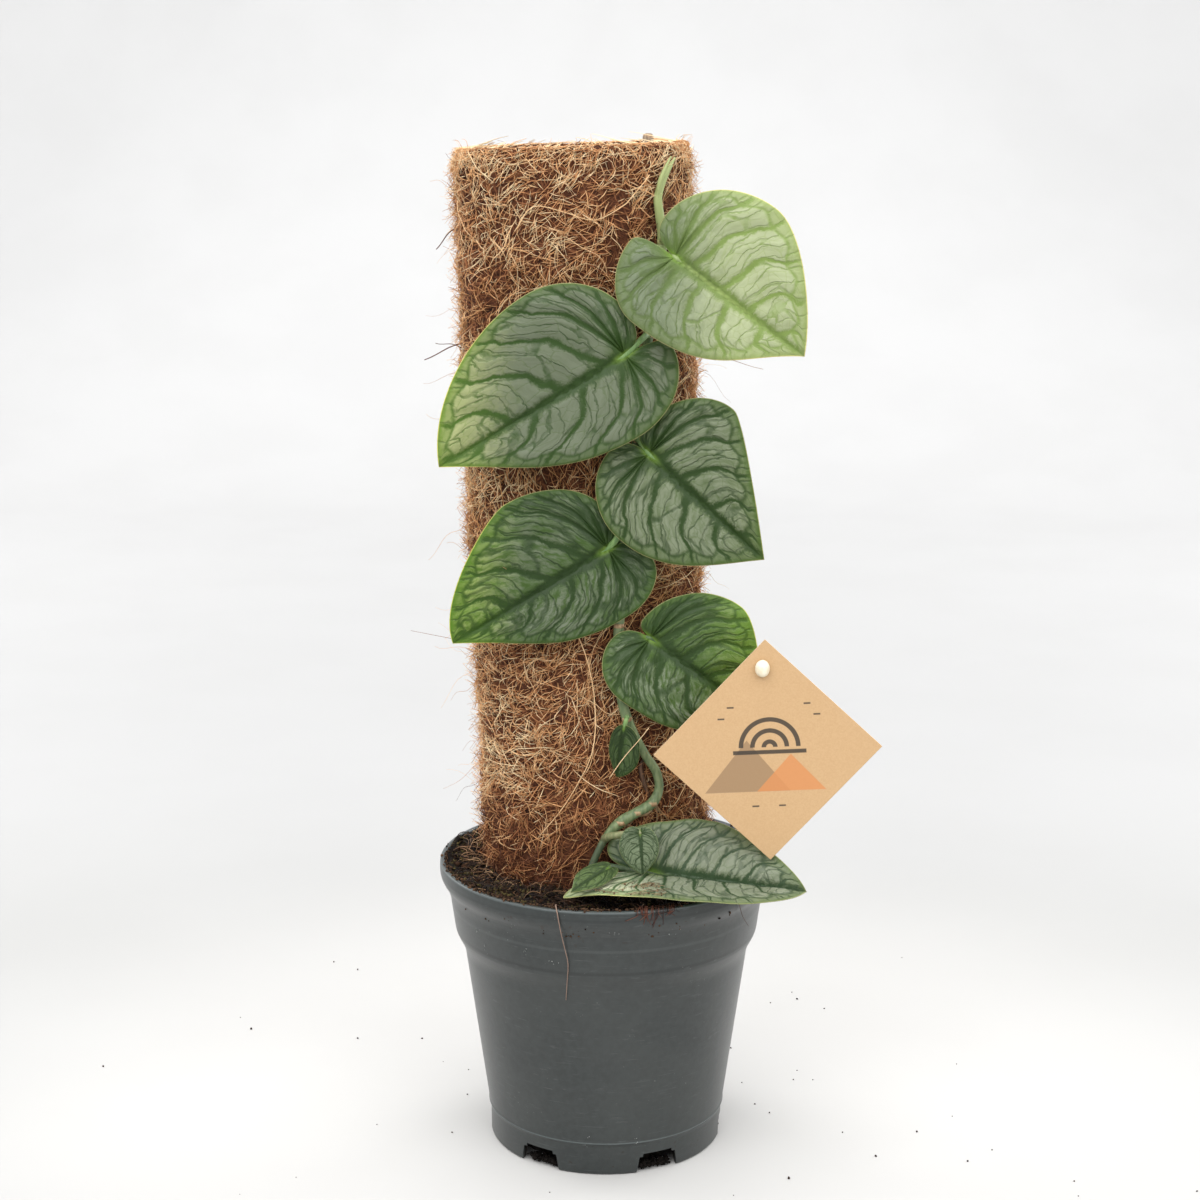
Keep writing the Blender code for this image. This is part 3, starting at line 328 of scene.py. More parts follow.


LEAVES = {
    "leaf_1": Leaf(
        junction=(0.0222, -0.0365, 0.3218), tip=(0.0636, -0.0482, 0.2907), face=(0.0, -1.0, 0.0),
        left=Half(0.0105, 0.008, 0.0325, 0.0175, 65, 0.31),
        right=Half(0.015, 0.0045, 0.0255, 0.002, 35, 0.62),
        petiole=((0.0186, -0.0184, 0.3255), (0.019, -0.0245, 0.3275), (0.0205, -0.0305, 0.3255)),
        droop=0.1, dark=(94, 115, 61), green=(110, 127, 78), silver=(127, 139, 111), flecks=0.12,
        fan=0.4, pale_rib=45.0, glow=(0.014, 0.046), shine=(2.28, 2.08, 1.98),
    ),
    "leaf_2": Leaf(
        junction=(0.0061, -0.034, 0.2895), tip=(-0.0556, -0.04, 0.2524), face=(0.0, -1.0, 0.0),
        left=Half(0.015, 0.005, 0.0255, 0.0095, 28, 0.46),
        right=Half(0.008, 0.01, 0.0345, 0.0185, 68, 0.38),
        petiole=((0.0139, -0.0218, 0.2948), (0.0137, -0.027, 0.2958), (0.0105, -0.0325, 0.2935)),
        dark=(52, 78, 30), green=(78, 102, 46), silver=(118, 127, 104), flecks=0.12, fan=0.5,
        glow=(-0.026, -0.056), shine=(2.64, 2.42, 1.68),
    ),
    "leaf_3": Leaf(
        junction=(0.0142, -0.0308, 0.256), tip=(0.0528, -0.0378, 0.2209), face=(0.0, -1.0, 0.0),
        left=Half(0.008, 0.006, 0.0305, 0.011, 40, 0.1),
        right=Half(0.0105, 0.008, 0.028, 0.0115, 47, 0.49),
        petiole=((0.0106, -0.0236, 0.2596), (0.0108, -0.0275, 0.2608), (0.0125, -0.029, 0.258)),
        flecks=0.4, glow=(0.034, 0.09),
    ),
    "leaf_4": Leaf(
        junction=(0.0005, -0.0297, 0.2236), tip=(-0.0521, -0.035, 0.1909), face=(0.0, -1.0, 0.0),
        left=Half(0.011, 0.011, 0.0235, 0.007, 27, 0.47),
        right=Half(0.0065, 0.01, 0.0315, 0.022, 78, 0.15),
        petiole=((0.0047, -0.0254, 0.229), (0.0046, -0.0295, 0.2295), (0.003, -0.0305, 0.2265)),
        fold=5.0, dark=(42, 66, 24), green=(66, 94, 36), silver=(118, 128, 106), flecks=0.85,
        halves=(0.75, 1.0), glow=(-0.026, -0.05), shine=(2.05, 2.05, 1.0),
    ),
    "leaf_5": Leaf(
        junction=(0.0149, -0.028, 0.192), tip=(0.0538, -0.029, 0.1628), face=(0.0, -1.0, 0.0),
        left=Half(0.006, 0.004, 0.028, 0.018, 50, 0.27),
        right=Half(0.0105, 0.009, 0.0235, 0.005, 51, 0.6),
        petiole=((0.0041, -0.0258, 0.1862), (0.007, -0.0263, 0.1893), (0.0112, -0.0268, 0.191)),
        droop=0.05, dark=(52, 76, 34), green=(76, 103, 46), silver=(132, 144, 118), flecks=1.0,
        halves=(1.0, 0.35), glow=(0.028, 0.05), shine=(1.95, 1.95, 1.15),
    ),
    "leaf_6": Leaf(
        junction=(0.0151, -0.0339, 0.1096), tip=(0.0686, -0.0455, 0.1071),
        face=(0.0, -0.545, 0.839),
        left=Half(0.016, 0.007, 0.0205, 0.021, 56, 0.1),
        right=Half(0.027, 0.0205, 0.0243, 0.004, 82, 0.24, 0.6),
        petiole=((-0.005, -0.0287, 0.11), (0.001, -0.031, 0.111), (0.009, -0.0318, 0.1098)),
        fold=33.0, droop=0.0, curl=0.03, veins=10.0, bold=0.58, dark=(58, 80, 50),
        green=(104, 122, 76), silver=(146, 153, 132), flecks=0.2, glow=(0.022, 0.0),
        shine=(2.34, 2.16, 2.16), lit_halves=(1.0, 0.0),
    ),
    "small_leaf_1": Leaf(
        junction=(0.0061, -0.03, 0.1611), tip=(0.0033, -0.031, 0.1431), face=(-0.15, -1.0, 0.0),
        left=Half(0.0006, 0.0006, 0.007, 0.0098, 80, 0.52),
        right=Half(0.0006, 0.0006, 0.0042, 0.006, 25, 0.45),
        petiole=((0.0071, -0.0256, 0.1629), (0.007, -0.029, 0.164)),
        petiole_radius=0.0008, vein_steps=30, across_steps=10, veins=4.0, dark=(40, 60, 24),
        green=(60, 84, 36), silver=(80, 97, 60), flecks=0.9,
    ),
    "small_leaf_2": Leaf(
        junction=(0.0116, -0.038, 0.1255), tip=(0.0126, -0.042, 0.1117), face=(0.0, -1.0, 0.15),
        left=Half(0.0022, 0.0012, 0.0062, 0.005, 55, 0.37),
        right=Half(0.0024, 0.0026, 0.0076, 0.0046, 66, 0.4),
        petiole=((-0.0005, -0.0279, 0.12), (0.0014, -0.0322, 0.1224), (0.0068, -0.0362, 0.1244)),
        petiole_radius=0.0013, vein_steps=34, across_steps=12, veins=7.0, bold=0.62,
        dark=(58, 78, 46), green=(96, 116, 78), silver=(126, 140, 110),
    ),
    "small_leaf_3": Leaf(
        junction=(0.001, -0.042, 0.1142), tip=(-0.0121, -0.0535, 0.1102),
        face=(-0.1, -0.6, 0.8),
        left=Half(0.002, 0.002, 0.005, 0.006, 35, 0.45),
        right=Half(0.0015, 0.0015, 0.005, 0.009, 30, 0.42),
        petiole=((-0.0056, -0.0287, 0.107), (-0.004, -0.0345, 0.1112), (-0.0005, -0.0395, 0.1142)),
        petiole_radius=0.0008, vein_steps=30, across_steps=10, veins=4.0, dark=(56, 76, 40),
        green=(84, 106, 56), silver=(104, 124, 78), flecks=0.7,
    ),
}


# Camera, lights and floor


def make_camera():
    data = bpy.data.cameras.new("camera")
    data.lens = CAMERA_LENS
    data.sensor_width = 36.0
    data.clip_start = 0.01
    camera = added("camera", data)
    camera.location = POT_AXIS + CAMERA_PLACE
    camera.rotation_euler = (math.pi / 2 - CAMERA_PITCH, 0.0, 0.0)
    bpy.context.scene.camera = camera


def add_light(name, place, size, power):
    """A round, soft light that is aimed at the middle of the plant."""
    data = bpy.data.lights.new(name, "AREA")
    data.shape = "DISK"
    data.size = size
    data.energy = power
    light = added(name, data)
    light.location = POT_AXIS + Vector(place)
    aim = POT_AXIS + LIGHT_TARGET - light.location
    light.rotation_euler = aim.to_track_quat("-Z", "Y").to_euler()


def make_world():
    """A white room: bright overhead and behind the plant, darker behind the camera."""
    world = bpy.data.worlds.new("room")
    bpy.context.scene.world = world
    world.use_nodes = True
    nodes = world.node_tree.nodes
    links = world.node_tree.links
    place = nodes.new("ShaderNodeTexCoord")
    split = nodes.new("ShaderNodeSeparateXYZ")
    ramp = nodes.new("ShaderNodeMapRange")
    for key, value in zip(("From Min", "From Max", "To Min", "To Max"), ROOM_LIGHT):
        ramp.inputs[key].default_value = value
    back = nodes["Background"]
    back.inputs["Color"].default_value = (1.0, 1.0, 1.0, 1.0)
    links.new(place.outputs["Generated"], split.inputs[0])
    links.new(split.outputs["Y"], ramp.inputs["Value"])
    links.new(ramp.outputs["Result"], back.inputs["Strength"])


def linear(color):
    """An 8-bit (red, green, blue) as a shader's linear colour. Four numbers are linear already."""
    if len(color) == 4:
        return color
    shares = [value / 255 for value in color]
    return (*(s / 12.92 if s <= 0.04045 else ((s + 0.055) / 1.055) ** 2.4 for s in shares), 1.0)


class Graph:
    """A material's node tree, built with short calls. A value is a number, a colour or a socket."""

    def __init__(self, name):
        self.material = bpy.data.materials.new(name)
        self.material.use_nodes = True
        self.tree = self.material.node_tree
        self.shader = self.tree.nodes["Principled BSDF"]
        self.output = self.tree.nodes["Material Output"]

    def put(self, socket, value):
        if isinstance(value, bpy.types.NodeSocket):
            self.tree.links.new(value, socket)
        elif value is not None:
            socket.default_value = linear(value) if socket.type == "RGBA" else value

    def fill(self, kind, values, **settings):
        """A new node with these settings, and with values for the inputs of these names or places."""
        node = self.tree.nodes.new(f"ShaderNode{kind}")
        for key, value in settings.items():
            setattr(node, key, value)
        for key, value in values.items():
            self.put(node.inputs[key], value)
        return node

    def node(self, kind, *values, out=0, **settings):
        """The output of a new node whose first inputs have these values."""
        return self.fill(kind, dict(enumerate(values)), **settings).outputs[out]

    def math(self, operation, *values):
        return self.node("Math", *values, operation=operation)

    add = partialmethod(math, "ADD")
    sub = partialmethod(math, "SUBTRACT")
    mul = partialmethod(math, "MULTIPLY")
    div = partialmethod(math, "DIVIDE")
    larger = partialmethod(math, "MAXIMUM")
    muladd = partialmethod(math, "MULTIPLY_ADD")  # the first times the second, plus the third

    def apart(self, a, b):
        """How far two values are from each other."""
        return self.math("ABSOLUTE", self.sub(a, b))

    def value(self, name):
        """The number that each point of the mesh has under this name."""
        return self.node("Attribute", out=2, attribute_name=name)

    def place(self, output="Object"):
        return self.node("TexCoord", out=("Generated", "Normal", "UV", "Object").index(output))

    def scaled(self, vector, *scale):
        return self.node("VectorMath", vector, scale, operation="MULTIPLY")

    def length(self, vector):
        return self.node("VectorMath", vector, operation="LENGTH", out=1)

    def dot(self, a, b):
        return self.node("VectorMath", a, b, operation="DOT_PRODUCT", out=1)

    def vector(self, x, y, z=0.0):
        return self.node("CombineXYZ", x, y, z)

    def split(self, vector, axis):
        return self.node("SeparateXYZ", vector, out="XYZ".index(axis))

    def noise(self, vector, scale, detail=2.0, rough=0.5):
        values = {"Vector": vector, "Scale": scale, "Detail": detail, "Roughness": rough}
        return self.fill("TexNoise", values).outputs["Fac"]

    def edges(self, vector, randomness):
        """The distance to the nearest wall between two cells of about one unit."""
        values = {"Vector": vector, "Scale": 1.0, "Randomness": randomness}
        return self.fill("TexVoronoi", values, feature="DISTANCE_TO_EDGE").outputs["Distance"]

    def step(self, value, low, high, to_low=0.0, to_high=1.0):
        """Smoothly from to_low at low to to_high at high."""
        values = (value, low, high, to_low, to_high)
        return self.node("MapRange", *values, interpolation_type="SMOOTHSTEP")

    def mix(self, factor, a, b, blend="MIX"):
        values = {0: factor, 6: a, 7: b}
        return self.fill("Mix", values, data_type="RGBA", blend_type=blend).outputs[2]

    def tinted(self, a, b):
        return self.mix(1.0, a, b, "MULTIPLY")

    def ramp(self, factor, *stops):
        """A colour ramp through (place, colour) stops."""
        node = self.fill("ValToRGB", {0: factor})
        while len(node.color_ramp.elements) < len(stops):
            node.color_ramp.elements.new(1.0)
        for element, (place, color) in zip(node.color_ramp.elements, stops):
            element.position = place
            element.color = linear(color)
        return node.outputs[0]

    def bump(self, height, distance, strength=1.0):
        values = {"Strength": strength, "Distance": distance, "Height": height}
        normal = self.fill("Bump", values).outputs[0]
        self.put(self.shader.inputs["Normal"], normal)
        return normal

    def surface(self, color, rough, specular=None):
        values = {"Base Color": color, "Roughness": rough, "Specular IOR Level": specular}
        for key, value in values.items():
            self.put(self.shader.inputs[key], value)
        return self.material

    def let_light_through(self, share, color, normal=None):
        """Mixes in the light that comes through from the other side."""
        through = self.node("BsdfTranslucent", color, normal)
        mixed = self.node("MixShader", share, self.shader.outputs[0], through)
        self.put(self.output.inputs[0], mixed)
        return self.material


# Meshes


def array_mesh(name, points, faces, values=()):
    """A mesh from arrays: points (n, 3), faces (m, 3 or 4), and named numbers for each point."""
    mesh = bpy.data.meshes.new(name)
    mesh.vertices.add(len(points))
    mesh.vertices.foreach_set("co", np.ascontiguousarray(points, np.float32).ravel())
    mesh.loops.add(faces.size)
    mesh.loops.foreach_set("vertex_index", np.ascontiguousarray(faces, np.int32).ravel())
    mesh.polygons.add(len(faces))
    starts = np.arange(0, faces.size, faces.shape[1], dtype=np.int32)
    mesh.polygons.foreach_set("loop_start", starts)
    mesh.update(calc_edges=True)
    for key, value in dict(values).items():
        attribute = mesh.attributes.new(key, "FLOAT", "POINT")
        attribute.data.foreach_set("value", np.ascontiguousarray(value, np.float32).ravel())
    return mesh


def mesh_of(bm, name):
    mesh = bpy.data.meshes.new(name)
    bm.to_mesh(mesh)
    bm.free()
    return mesh


def arrays_of(bm):
    points = np.array([vert.co[:] for vert in bm.verts])
    faces = np.array([[vert.index for vert in face.verts] for face in bm.faces])
    bm.free()
    return points, faces


def added(name, data):
    """A new object in the scene."""
    obj = bpy.data.objects.new(name, data)
    bpy.context.scene.collection.objects.link(obj)
    return obj


def piece(name, shape, slot, material, *replaces):
    """A shown piece of the plant, on the only body. The shape is a mesh or array_mesh's arrays."""
    mesh = array_mesh(name, *shape) if isinstance(shape, tuple) else shape
    obj = added(name, mesh)
    obj.location = POT_AXIS
    mesh.materials.clear()
    mesh.materials.append(material)
    mesh.shade_smooth()
    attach(obj, "root")
    if replaces:
        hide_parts(*replaces)
    return obj


def unit(vectors):
    return vectors / np.maximum(np.linalg.norm(vectors, axis=-1, keepdims=True), 1e-12)


def tubes(centres, radii, sides=3):
    """Closed tubes: centres (n, rings, 3), radii (n, rings). Gives their points and faces."""
    count, rings, _ = centres.shape
    along = unit(np.gradient(centres, axis=1))
    side = unit(np.cross(along, TUBE_SIDE))
    up = np.cross(along, side)
    turn = np.arange(sides) * (math.tau / sides)
    ring = np.cos(turn)[:, None] * side[:, :, None] + np.sin(turn)[:, None] * up[:, :, None]
    points = centres[:, :, None] + radii[:, :, None, None] * ring
    index = np.arange(count * rings * sides).reshape(count, rings, sides)
    near = index[:, :-1]
    far = index[:, 1:]
    near_next = np.roll(near, -1, axis=2)
    far_next = np.roll(far, -1, axis=2)
    faces = [
        np.stack([near, near_next, far_next], axis=-1).reshape(-1, 3),
        np.stack([near, far_next, far], axis=-1).reshape(-1, 3),
    ]
    for i in range(1, sides - 1):
        faces.append(index[:, 0][:, [0, i + 1, i]])
        faces.append(index[:, -1][:, [0, i, i + 1]])
    return points.reshape(-1, 3), np.concatenate(faces)


def rod(route, radius, sides):
    """One tube along the route's rows of x, y, z and a factor for its radius."""
    return tubes(route[None, :, :3], route[None, :, 3] * radius, sides)


def smooth_route(route, steps):
    """A Catmull-Rom curve through the route's rows, each any numbers, with this many steps a span."""
    route = np.array(route, float)
    padded = np.concatenate([[2 * route[0] - route[1]], route, [2 * route[-1] - route[-2]]])
    t = np.linspace(0, 1, steps, endpoint=False)[:, None]
    rows = []
    for p0, p1, p2, p3 in zip(padded, padded[1:], padded[2:], padded[3:]):
        square = 2 * p0 - 5 * p1 + 4 * p2 - p3
        cube = 3 * p1 - p0 - 3 * p2 + p3
        rows.append(0.5 * (2 * p1 + (p2 - p0) * t + square * t**2 + cube * t**3))
    return np.concatenate(rows + [route[-1:]])


def joined(parts):
    """Several (points, faces) or (points, faces, values) as one, with the faces' numbers moved on."""
    points, faces, values, start = [], [], {}, 0
    for some, their, *numbers in parts:
        points.append(some)
        faces.append(their + start)
        start += len(some)
        for key, value in dict(*numbers).items():
            values.setdefault(key, []).append(value)
    values = {key: np.concatenate(value) for key, value in values.items()}
    return np.concatenate(points), np.concatenate(faces), values


def lying(x, y, heading, way):
    """Points this way along level strands from their middles, where they head like this."""
    return x + way * np.cos(heading), y + way * np.sin(heading)


# Leaves


def bezier(p0, p1, p2, p3, steps):
    t = (np.arange(steps) + 1)[:, None] / steps
    s = 1.0 - t
    return s**3 * p0 + 3 * s * s * t * p1 + 3 * s * t * t * p2 + t**3 * p3


def half_outline(half, length):
    """The margin of one half, from the junction round the lobe to the tip, as (along, across)."""
    start = np.zeros(2)
    back = np.array([-half.lobe_back, half.lobe_out])
    widest = np.array([half.wide_at, half.wide])
    tip = np.array([length, 0.0])
    rest = length - half.wide_at
    slope = math.radians(half.tip_angle)
    into_lobe = np.array([-0.75 * half.lobe_back, 0.05 * half.lobe_out])
    round_lobe = np.array([-half.lobe_back, 0.45 * half.lobe_out])
    out_of_lobe = back + np.array([0.0, ROUND_ARC * (half.wide - half.lobe_out)])
    to_widest = widest - np.array([ROUND_ARC * (half.wide_at + half.lobe_back), 0.0])
    past_widest = widest + np.array([half.fullness * rest, 0.0])
    to_tip = tip + 0.42 * rest * np.array([-math.cos(slope), math.sin(slope)])
    lobe = bezier(start, into_lobe, round_lobe, back, 24)
    side = bezier(back, out_of_lobe, to_widest, widest, 32)
    end = bezier(widest, past_widest, to_tip, tip, 32)
    return np.concatenate([start[None], lobe, side, end])


def blade_grid(half, length, leaf):
    """Points (share, out, 2) on one half, on veins that run from the midrib to the margin."""
    outline = half_outline(half, length)
    lengths = np.concatenate([[0.0], np.cumsum(np.linalg.norm(np.diff(outline, axis=0), axis=1))])
    share = np.linspace(0, 1, leaf.vein_steps + 1)
    out = np.linspace(0, 1, leaf.across_steps + 1)
    edge = np.stack([np.interp(share * lengths[-1], lengths, outline[:, i]) for i in (0, 1)], -1)
    start = np.zeros_like(edge)
    start[:, 0] = length * np.maximum(0.0, (share - leaf.fan) / (1.0 - leaf.fan)) ** 1.3
    bend = np.stack([start[:, 0] + 0.28 * (edge[:, 0] - start[:, 0]), 0.56 * edge[:, 1]], -1)
    t = out[None, :, None]
    grid = start[:, None] * (1 - t) ** 2 + 2 * t * (1 - t) * bend[:, None] + edge[:, None] * t**2
    return grid, np.meshgrid(share, out, indexing="ij"), edge


def leaf_axes(leaf):
    """Length of the midrib, and unit vectors along it, across the blade and out of its face."""
    along = np.subtract(leaf.tip, leaf.junction)
    length = np.linalg.norm(along)
    along = along / length
    out = np.array(leaf.face, float)
    out -= along * out.dot(along)
    out /= np.linalg.norm(out)
    return length, along, np.cross(out, along), out


def roughness(points, size, seed):
    """Smooth noise at 2-D points, for lumps of this size."""
    flat = points.reshape(-1, 2) / size
    values = [noise.noise(Vector((x, y, seed * 3.7))) for x, y in flat]
    return np.array(values).reshape(points.shape[:-1])


def vein_places(leaf, grid, share, out, side, seed):
    """The side veins lie at whole numbers. The second result is the room between two, in mm."""
    bend = 0.35 * np.clip((out - 0.45) / 0.35, 0, 1) ** 2
    phase = share * leaf.veins + 0.5 + 0.22 * side - bend
    phase += 0.1 * roughness(grid, 0.014, seed) + 0.03 * roughness(grid, 0.005, seed + 0.5)
    down = np.gradient(grid, axis=0)
    outward = unit(np.gradient(grid, axis=1) + 1e-9)
    apart = np.abs(down[..., 0] * outward[..., 1] - down[..., 1] * outward[..., 0])
    room = 1000 * apart / np.maximum(np.gradient(phase, axis=0), 0.02)
    return phase, np.clip(room, 0.8, 12.0)


def blade_rise(leaf, half, length, grid, share, out, reach, phase, seed):
    """How far the blade stands out of its plane: fold, droop, raised panels and a wavy margin."""
    x, y = grid[..., 0], grid[..., 1]
    size = min(1.0, length / FULL_LENGTH)
    rise = y * math.sin(math.radians(leaf.fold)) - leaf.curl * y**2 / (0.5 * length)
    rise -= leaf.droop * np.maximum(0.0, x) ** 2 / length
    rise -= half.sag * np.minimum(0.0, x) ** 2 / length
    panel = np.sin(np.pi * phase) ** 2
    inside = np.clip(reach / (0.006 * size), 0, 1) * np.clip(y / (0.003 * size), 0, 1)
    rise += 0.00085 * size * panel**0.6 * inside
    rise += 0.00026 * size * np.abs(np.sin(np.pi * (phase * 2.6 + 0.4 * share))) * inside
    rise += 0.00045 * size * roughness(grid, 0.006 * size, seed + 9.5) * inside
    rise -= 0.0005 * size * np.exp(-((y / (0.0011 * size)) ** 2))
    wave = np.sin(share * 17.0 + seed) + 0.6 * np.sin(share * 41.0 + 2.3 * seed)
    rise += 0.00045 * size * wave * out**3 * np.sin(np.pi * share)
    return rise


def sheet_faces(rows, columns):
    """The quads of two grids of points, back to back, and of the rim along their last columns."""
    index = np.arange(rows * columns).reshape(rows, columns)
    upper = np.stack([index[:-1, :-1], index[1:, :-1], index[1:, 1:], index[:-1, 1:]], axis=-1)
    upper = upper.reshape(-1, 4)
    edge = index[:, -1]
    under = edge + rows * columns
    rim = np.stack([edge[:-1], edge[1:], under[1:], under[:-1]], axis=-1)
    return np.concatenate([upper, upper[:, ::-1] + rows * columns, rim])


def blade_half(leaf, half, side, seed):
    """One half of the blade, upper and lower side, with its rim: points, faces and numbers."""
    length, along, across, face = leaf_axes(leaf)
    grid, (share, out), edge = blade_grid(half, length, leaf)
    x, y = grid[..., 0], grid[..., 1]
    phase, room = vein_places(leaf, grid, share, out, side, seed)
    reach = np.linalg.norm(grid - edge[:, None], axis=-1)
    rise = blade_rise(leaf, half, length, grid, share, out, reach, phase, seed)
    thick = HALF_SHEET * (0.35 + 0.65 * np.sqrt(np.clip(reach / 0.0012, 0, 1)))
    aside = side * y * math.cos(math.radians(leaf.fold))
    middle = np.array(leaf.junction) + along * x[..., None] + across * aside[..., None]
    upper = middle + face * (rise + thick)[..., None]
    lower = middle + face * (rise - thick)[..., None]
    faces = sheet_faces(*x.shape)
    if side < 0:
        faces = faces[:, ::-1]
    both = {
        "vein": phase + 20.0 * side,
        "room": room,
        "out": out,
        "across": side * y * 1000,
        "along": x * 1000,
        "rim": reach * 1000,
    }
    values = {key: np.tile(value.ravel(), 2) for key, value in both.items()}
    values["upper"] = np.repeat([1.0, 0.0], x.size)
    return np.concatenate([upper.reshape(-1, 3), lower.reshape(-1, 3)]), faces, values


def petiole_tube(leaf):
    """The petiole from the stem to the junction, running out under the midrib."""
    length, along, _, out = leaf_axes(leaf)
    joint = np.array(leaf.junction) - out * 0.6 * leaf.petiole_radius
    sink = out * 0.5 * leaf.petiole_radius
    end = min(0.22 * length, 0.009)
    near = joint + along * 0.35 * end - out * (leaf.droop * 0.1 * end) - 0.3 * sink
    far = joint + along * end - out * (end**2 * leaf.droop / length) - 0.6 * sink
    route = [[*point, 1.0] for point in leaf.petiole]
    route[0][3] = 1.25
    route += [[*joint, 0.95], [*near, 0.6], [*far, 0.25]]
    return rod(smooth_route(route, 6), leaf.petiole_radius, 10)


class BladeGraph(Graph):
    """A leaf's graph, with its mesh's numbers, in mm of a full-sized leaf, and its noises."""

    def __init__(self, name, leaf):
        super().__init__(name)
        self.leaf = leaf
        self.size = min(1.0, leaf_axes(leaf)[0] / FULL_LENGTH)
        self.out = self.value("out")
        self.room = self.value("room")
        self.rim = self.div(self.value("rim"), self.size)
        self.along = self.div(self.value("along"), self.size)
        self.rib = self.div(self.math("ABSOLUTE", self.value("across")), self.size)
        self.heart = self.length(self.vector(self.rib, self.along))
        self.mm = self.scaled(self.place(), 1000, 1000, 1000)
        self.wobble = self.sub(self.noise(self.mm, 0.55, 3.0, 0.6), 0.5)
        self.grit = self.sub(self.noise(self.mm, 1.9, 2.0, 0.7), 0.5)
        drift = self.sub(self.noise(self.mm, 0.17), 0.5)
        drifted = self.muladd(drift, 0.26, self.value("vein"))
        self.vein = self.muladd(self.wobble, 0.1, drifted)
        down = self.mul(self.out, 3.0 + 4.5 * leaf.flecks)
        self.streak = self.noise(self.vector(self.mul(self.vein, 9.0), down), 1.0, 3.0, 0.6)
        self.fringe = self.sub(self.streak, 0.5)

    def from_line(self, count):
        """The way to the nearest of this many lines from vein to vein, in mm."""
        part = self.math("FRACT", self.mul(self.vein, count))
        near = self.sub(0.5, self.apart(part, 0.5))
        return self.mul(near, self.div(self.room, self.size * count))

    def net(self, count, along_count, low, high):
        """0 on the lines of a net of cells stretched along the veins, 1 in its cells."""
        aslant = self.muladd(self.out, 0.5, self.vein)
        spots = self.vector(self.mul(aslant, count), self.mul(self.out, along_count))
        edge = self.mul(self.edges(spots, 0.9), self.room)
        edge = self.muladd(self.wobble, 0.25, self.div(edge, count * self.size))
        return self.step(edge, low, high)

    def ragged(self, value, reach, *limits):
        """A step of the value, whose place wanders by about this much."""
        return self.step(self.muladd(self.wobble, reach, value), *limits)


def blade_masks(g):
    """0 on the side veins' bands, the loops near the rim, the midrib, the rim and two nets of veins."""
    bold = g.leaf.bold
    half_band = g.muladd(g.out, -0.95 * bold, 1.62 * bold)
    beside = g.muladd(g.fringe, 0.55, g.div(g.from_line(1), half_band))
    loop = g.muladd(g.math("COSINE", g.mul(g.vein, math.tau)), 1.1, 4.0)
    outer = g.step(g.sub(loop, g.rim), -0.4, 0.6)
    net = g.net(2.9, 1.5, 0.04, 0.24 + 0.24 * g.leaf.flecks)
    thin = g.mix(outer, net, g.ragged(g.from_line(2.6), 0.5, 0.0, 0.55))
    beyond_rib = g.sub(g.rib, g.step(g.along, -2.0, 55.0, 2.5, 1.0))
    return SimpleNamespace(
        band=g.step(g.muladd(g.grit, 0.9, beside), 0.3, 1.3),
        off_loop=g.ragged(g.apart(g.rim, loop), 1.2, -0.1, 1.25, 0.15, 1.0),
        outer=outer,
        thin=g.larger(thin, g.step(g.room, 1.2 * g.size, 3.4 * g.size, 1.0, 0.0)),
        fine=g.net(3.1, 5.0, 0.0, 0.2),
        off_rib=g.step(g.muladd(g.grit, 1.6, g.muladd(g.fringe, 2.6, beyond_rib)), -0.9, 1.1),
        off_rim=g.ragged(g.rim, 2.4, 0.3, 2.2),
    )


def silver_share(g, m):
    """How much silver shows, broken by the masks, by flecks and by plain green places."""
    flecks = g.leaf.flecks
    patch = g.step(g.noise(g.mm, 0.16), 0.32, 0.55, 1.0 - 0.6 * flecks, 1.0)
    broken = g.mul(g.step(g.streak, 0.34, 0.62, 1.0 - flecks, 1.0), patch)
    plain = g.muladd(g.fringe, 0.5, g.out)
    plain = g.step(plain, 0.04, 0.1 + 0.34 * flecks, 1.0 - 0.9 * flecks, 1.0)
    quiet = g.ragged(g.value("across"), 9.0, -2.0, 2.0, *g.leaf.halves)
    faint = g.step(g.noise(g.mm, 0.4, 1.0), 0.35, 0.6, 0.25, 0.66 - 0.25 * flecks)
    silver = g.mul(g.mul(m.band, m.off_rib), g.mul(plain, quiet))
    masks = (
        m.off_loop,
        m.off_rim,
        g.ragged(g.heart, 4.0, 2.5, 9.0, 0.15, 1.0),
        broken,
        g.step(m.outer, 0.0, 1.0, 1.0, 0.5),
        g.step(m.thin, 0.0, 1.0, faint, 1.0),
        g.step(m.fine, 0.0, 1.0, 0.66, 1.0),
    )
    for mask in masks:
        silver = g.mul(silver, mask)
    return silver


def painted_backlight(g):
    """Painted backlight: where the blade's colour is brightened as if the bright room behind the plant
    shone through it.
    """
    start, full = g.leaf.glow
    side = 1.0 if start < full else -1.0
    near_light = g.mul(g.split(g.place(), "X"), side)
    lit = g.ragged(near_light, 0.012, side * start, side * full)
    return g.mul(lit, g.step(g.value("across"), -1.0, 1.0, *g.leaf.lit_halves))


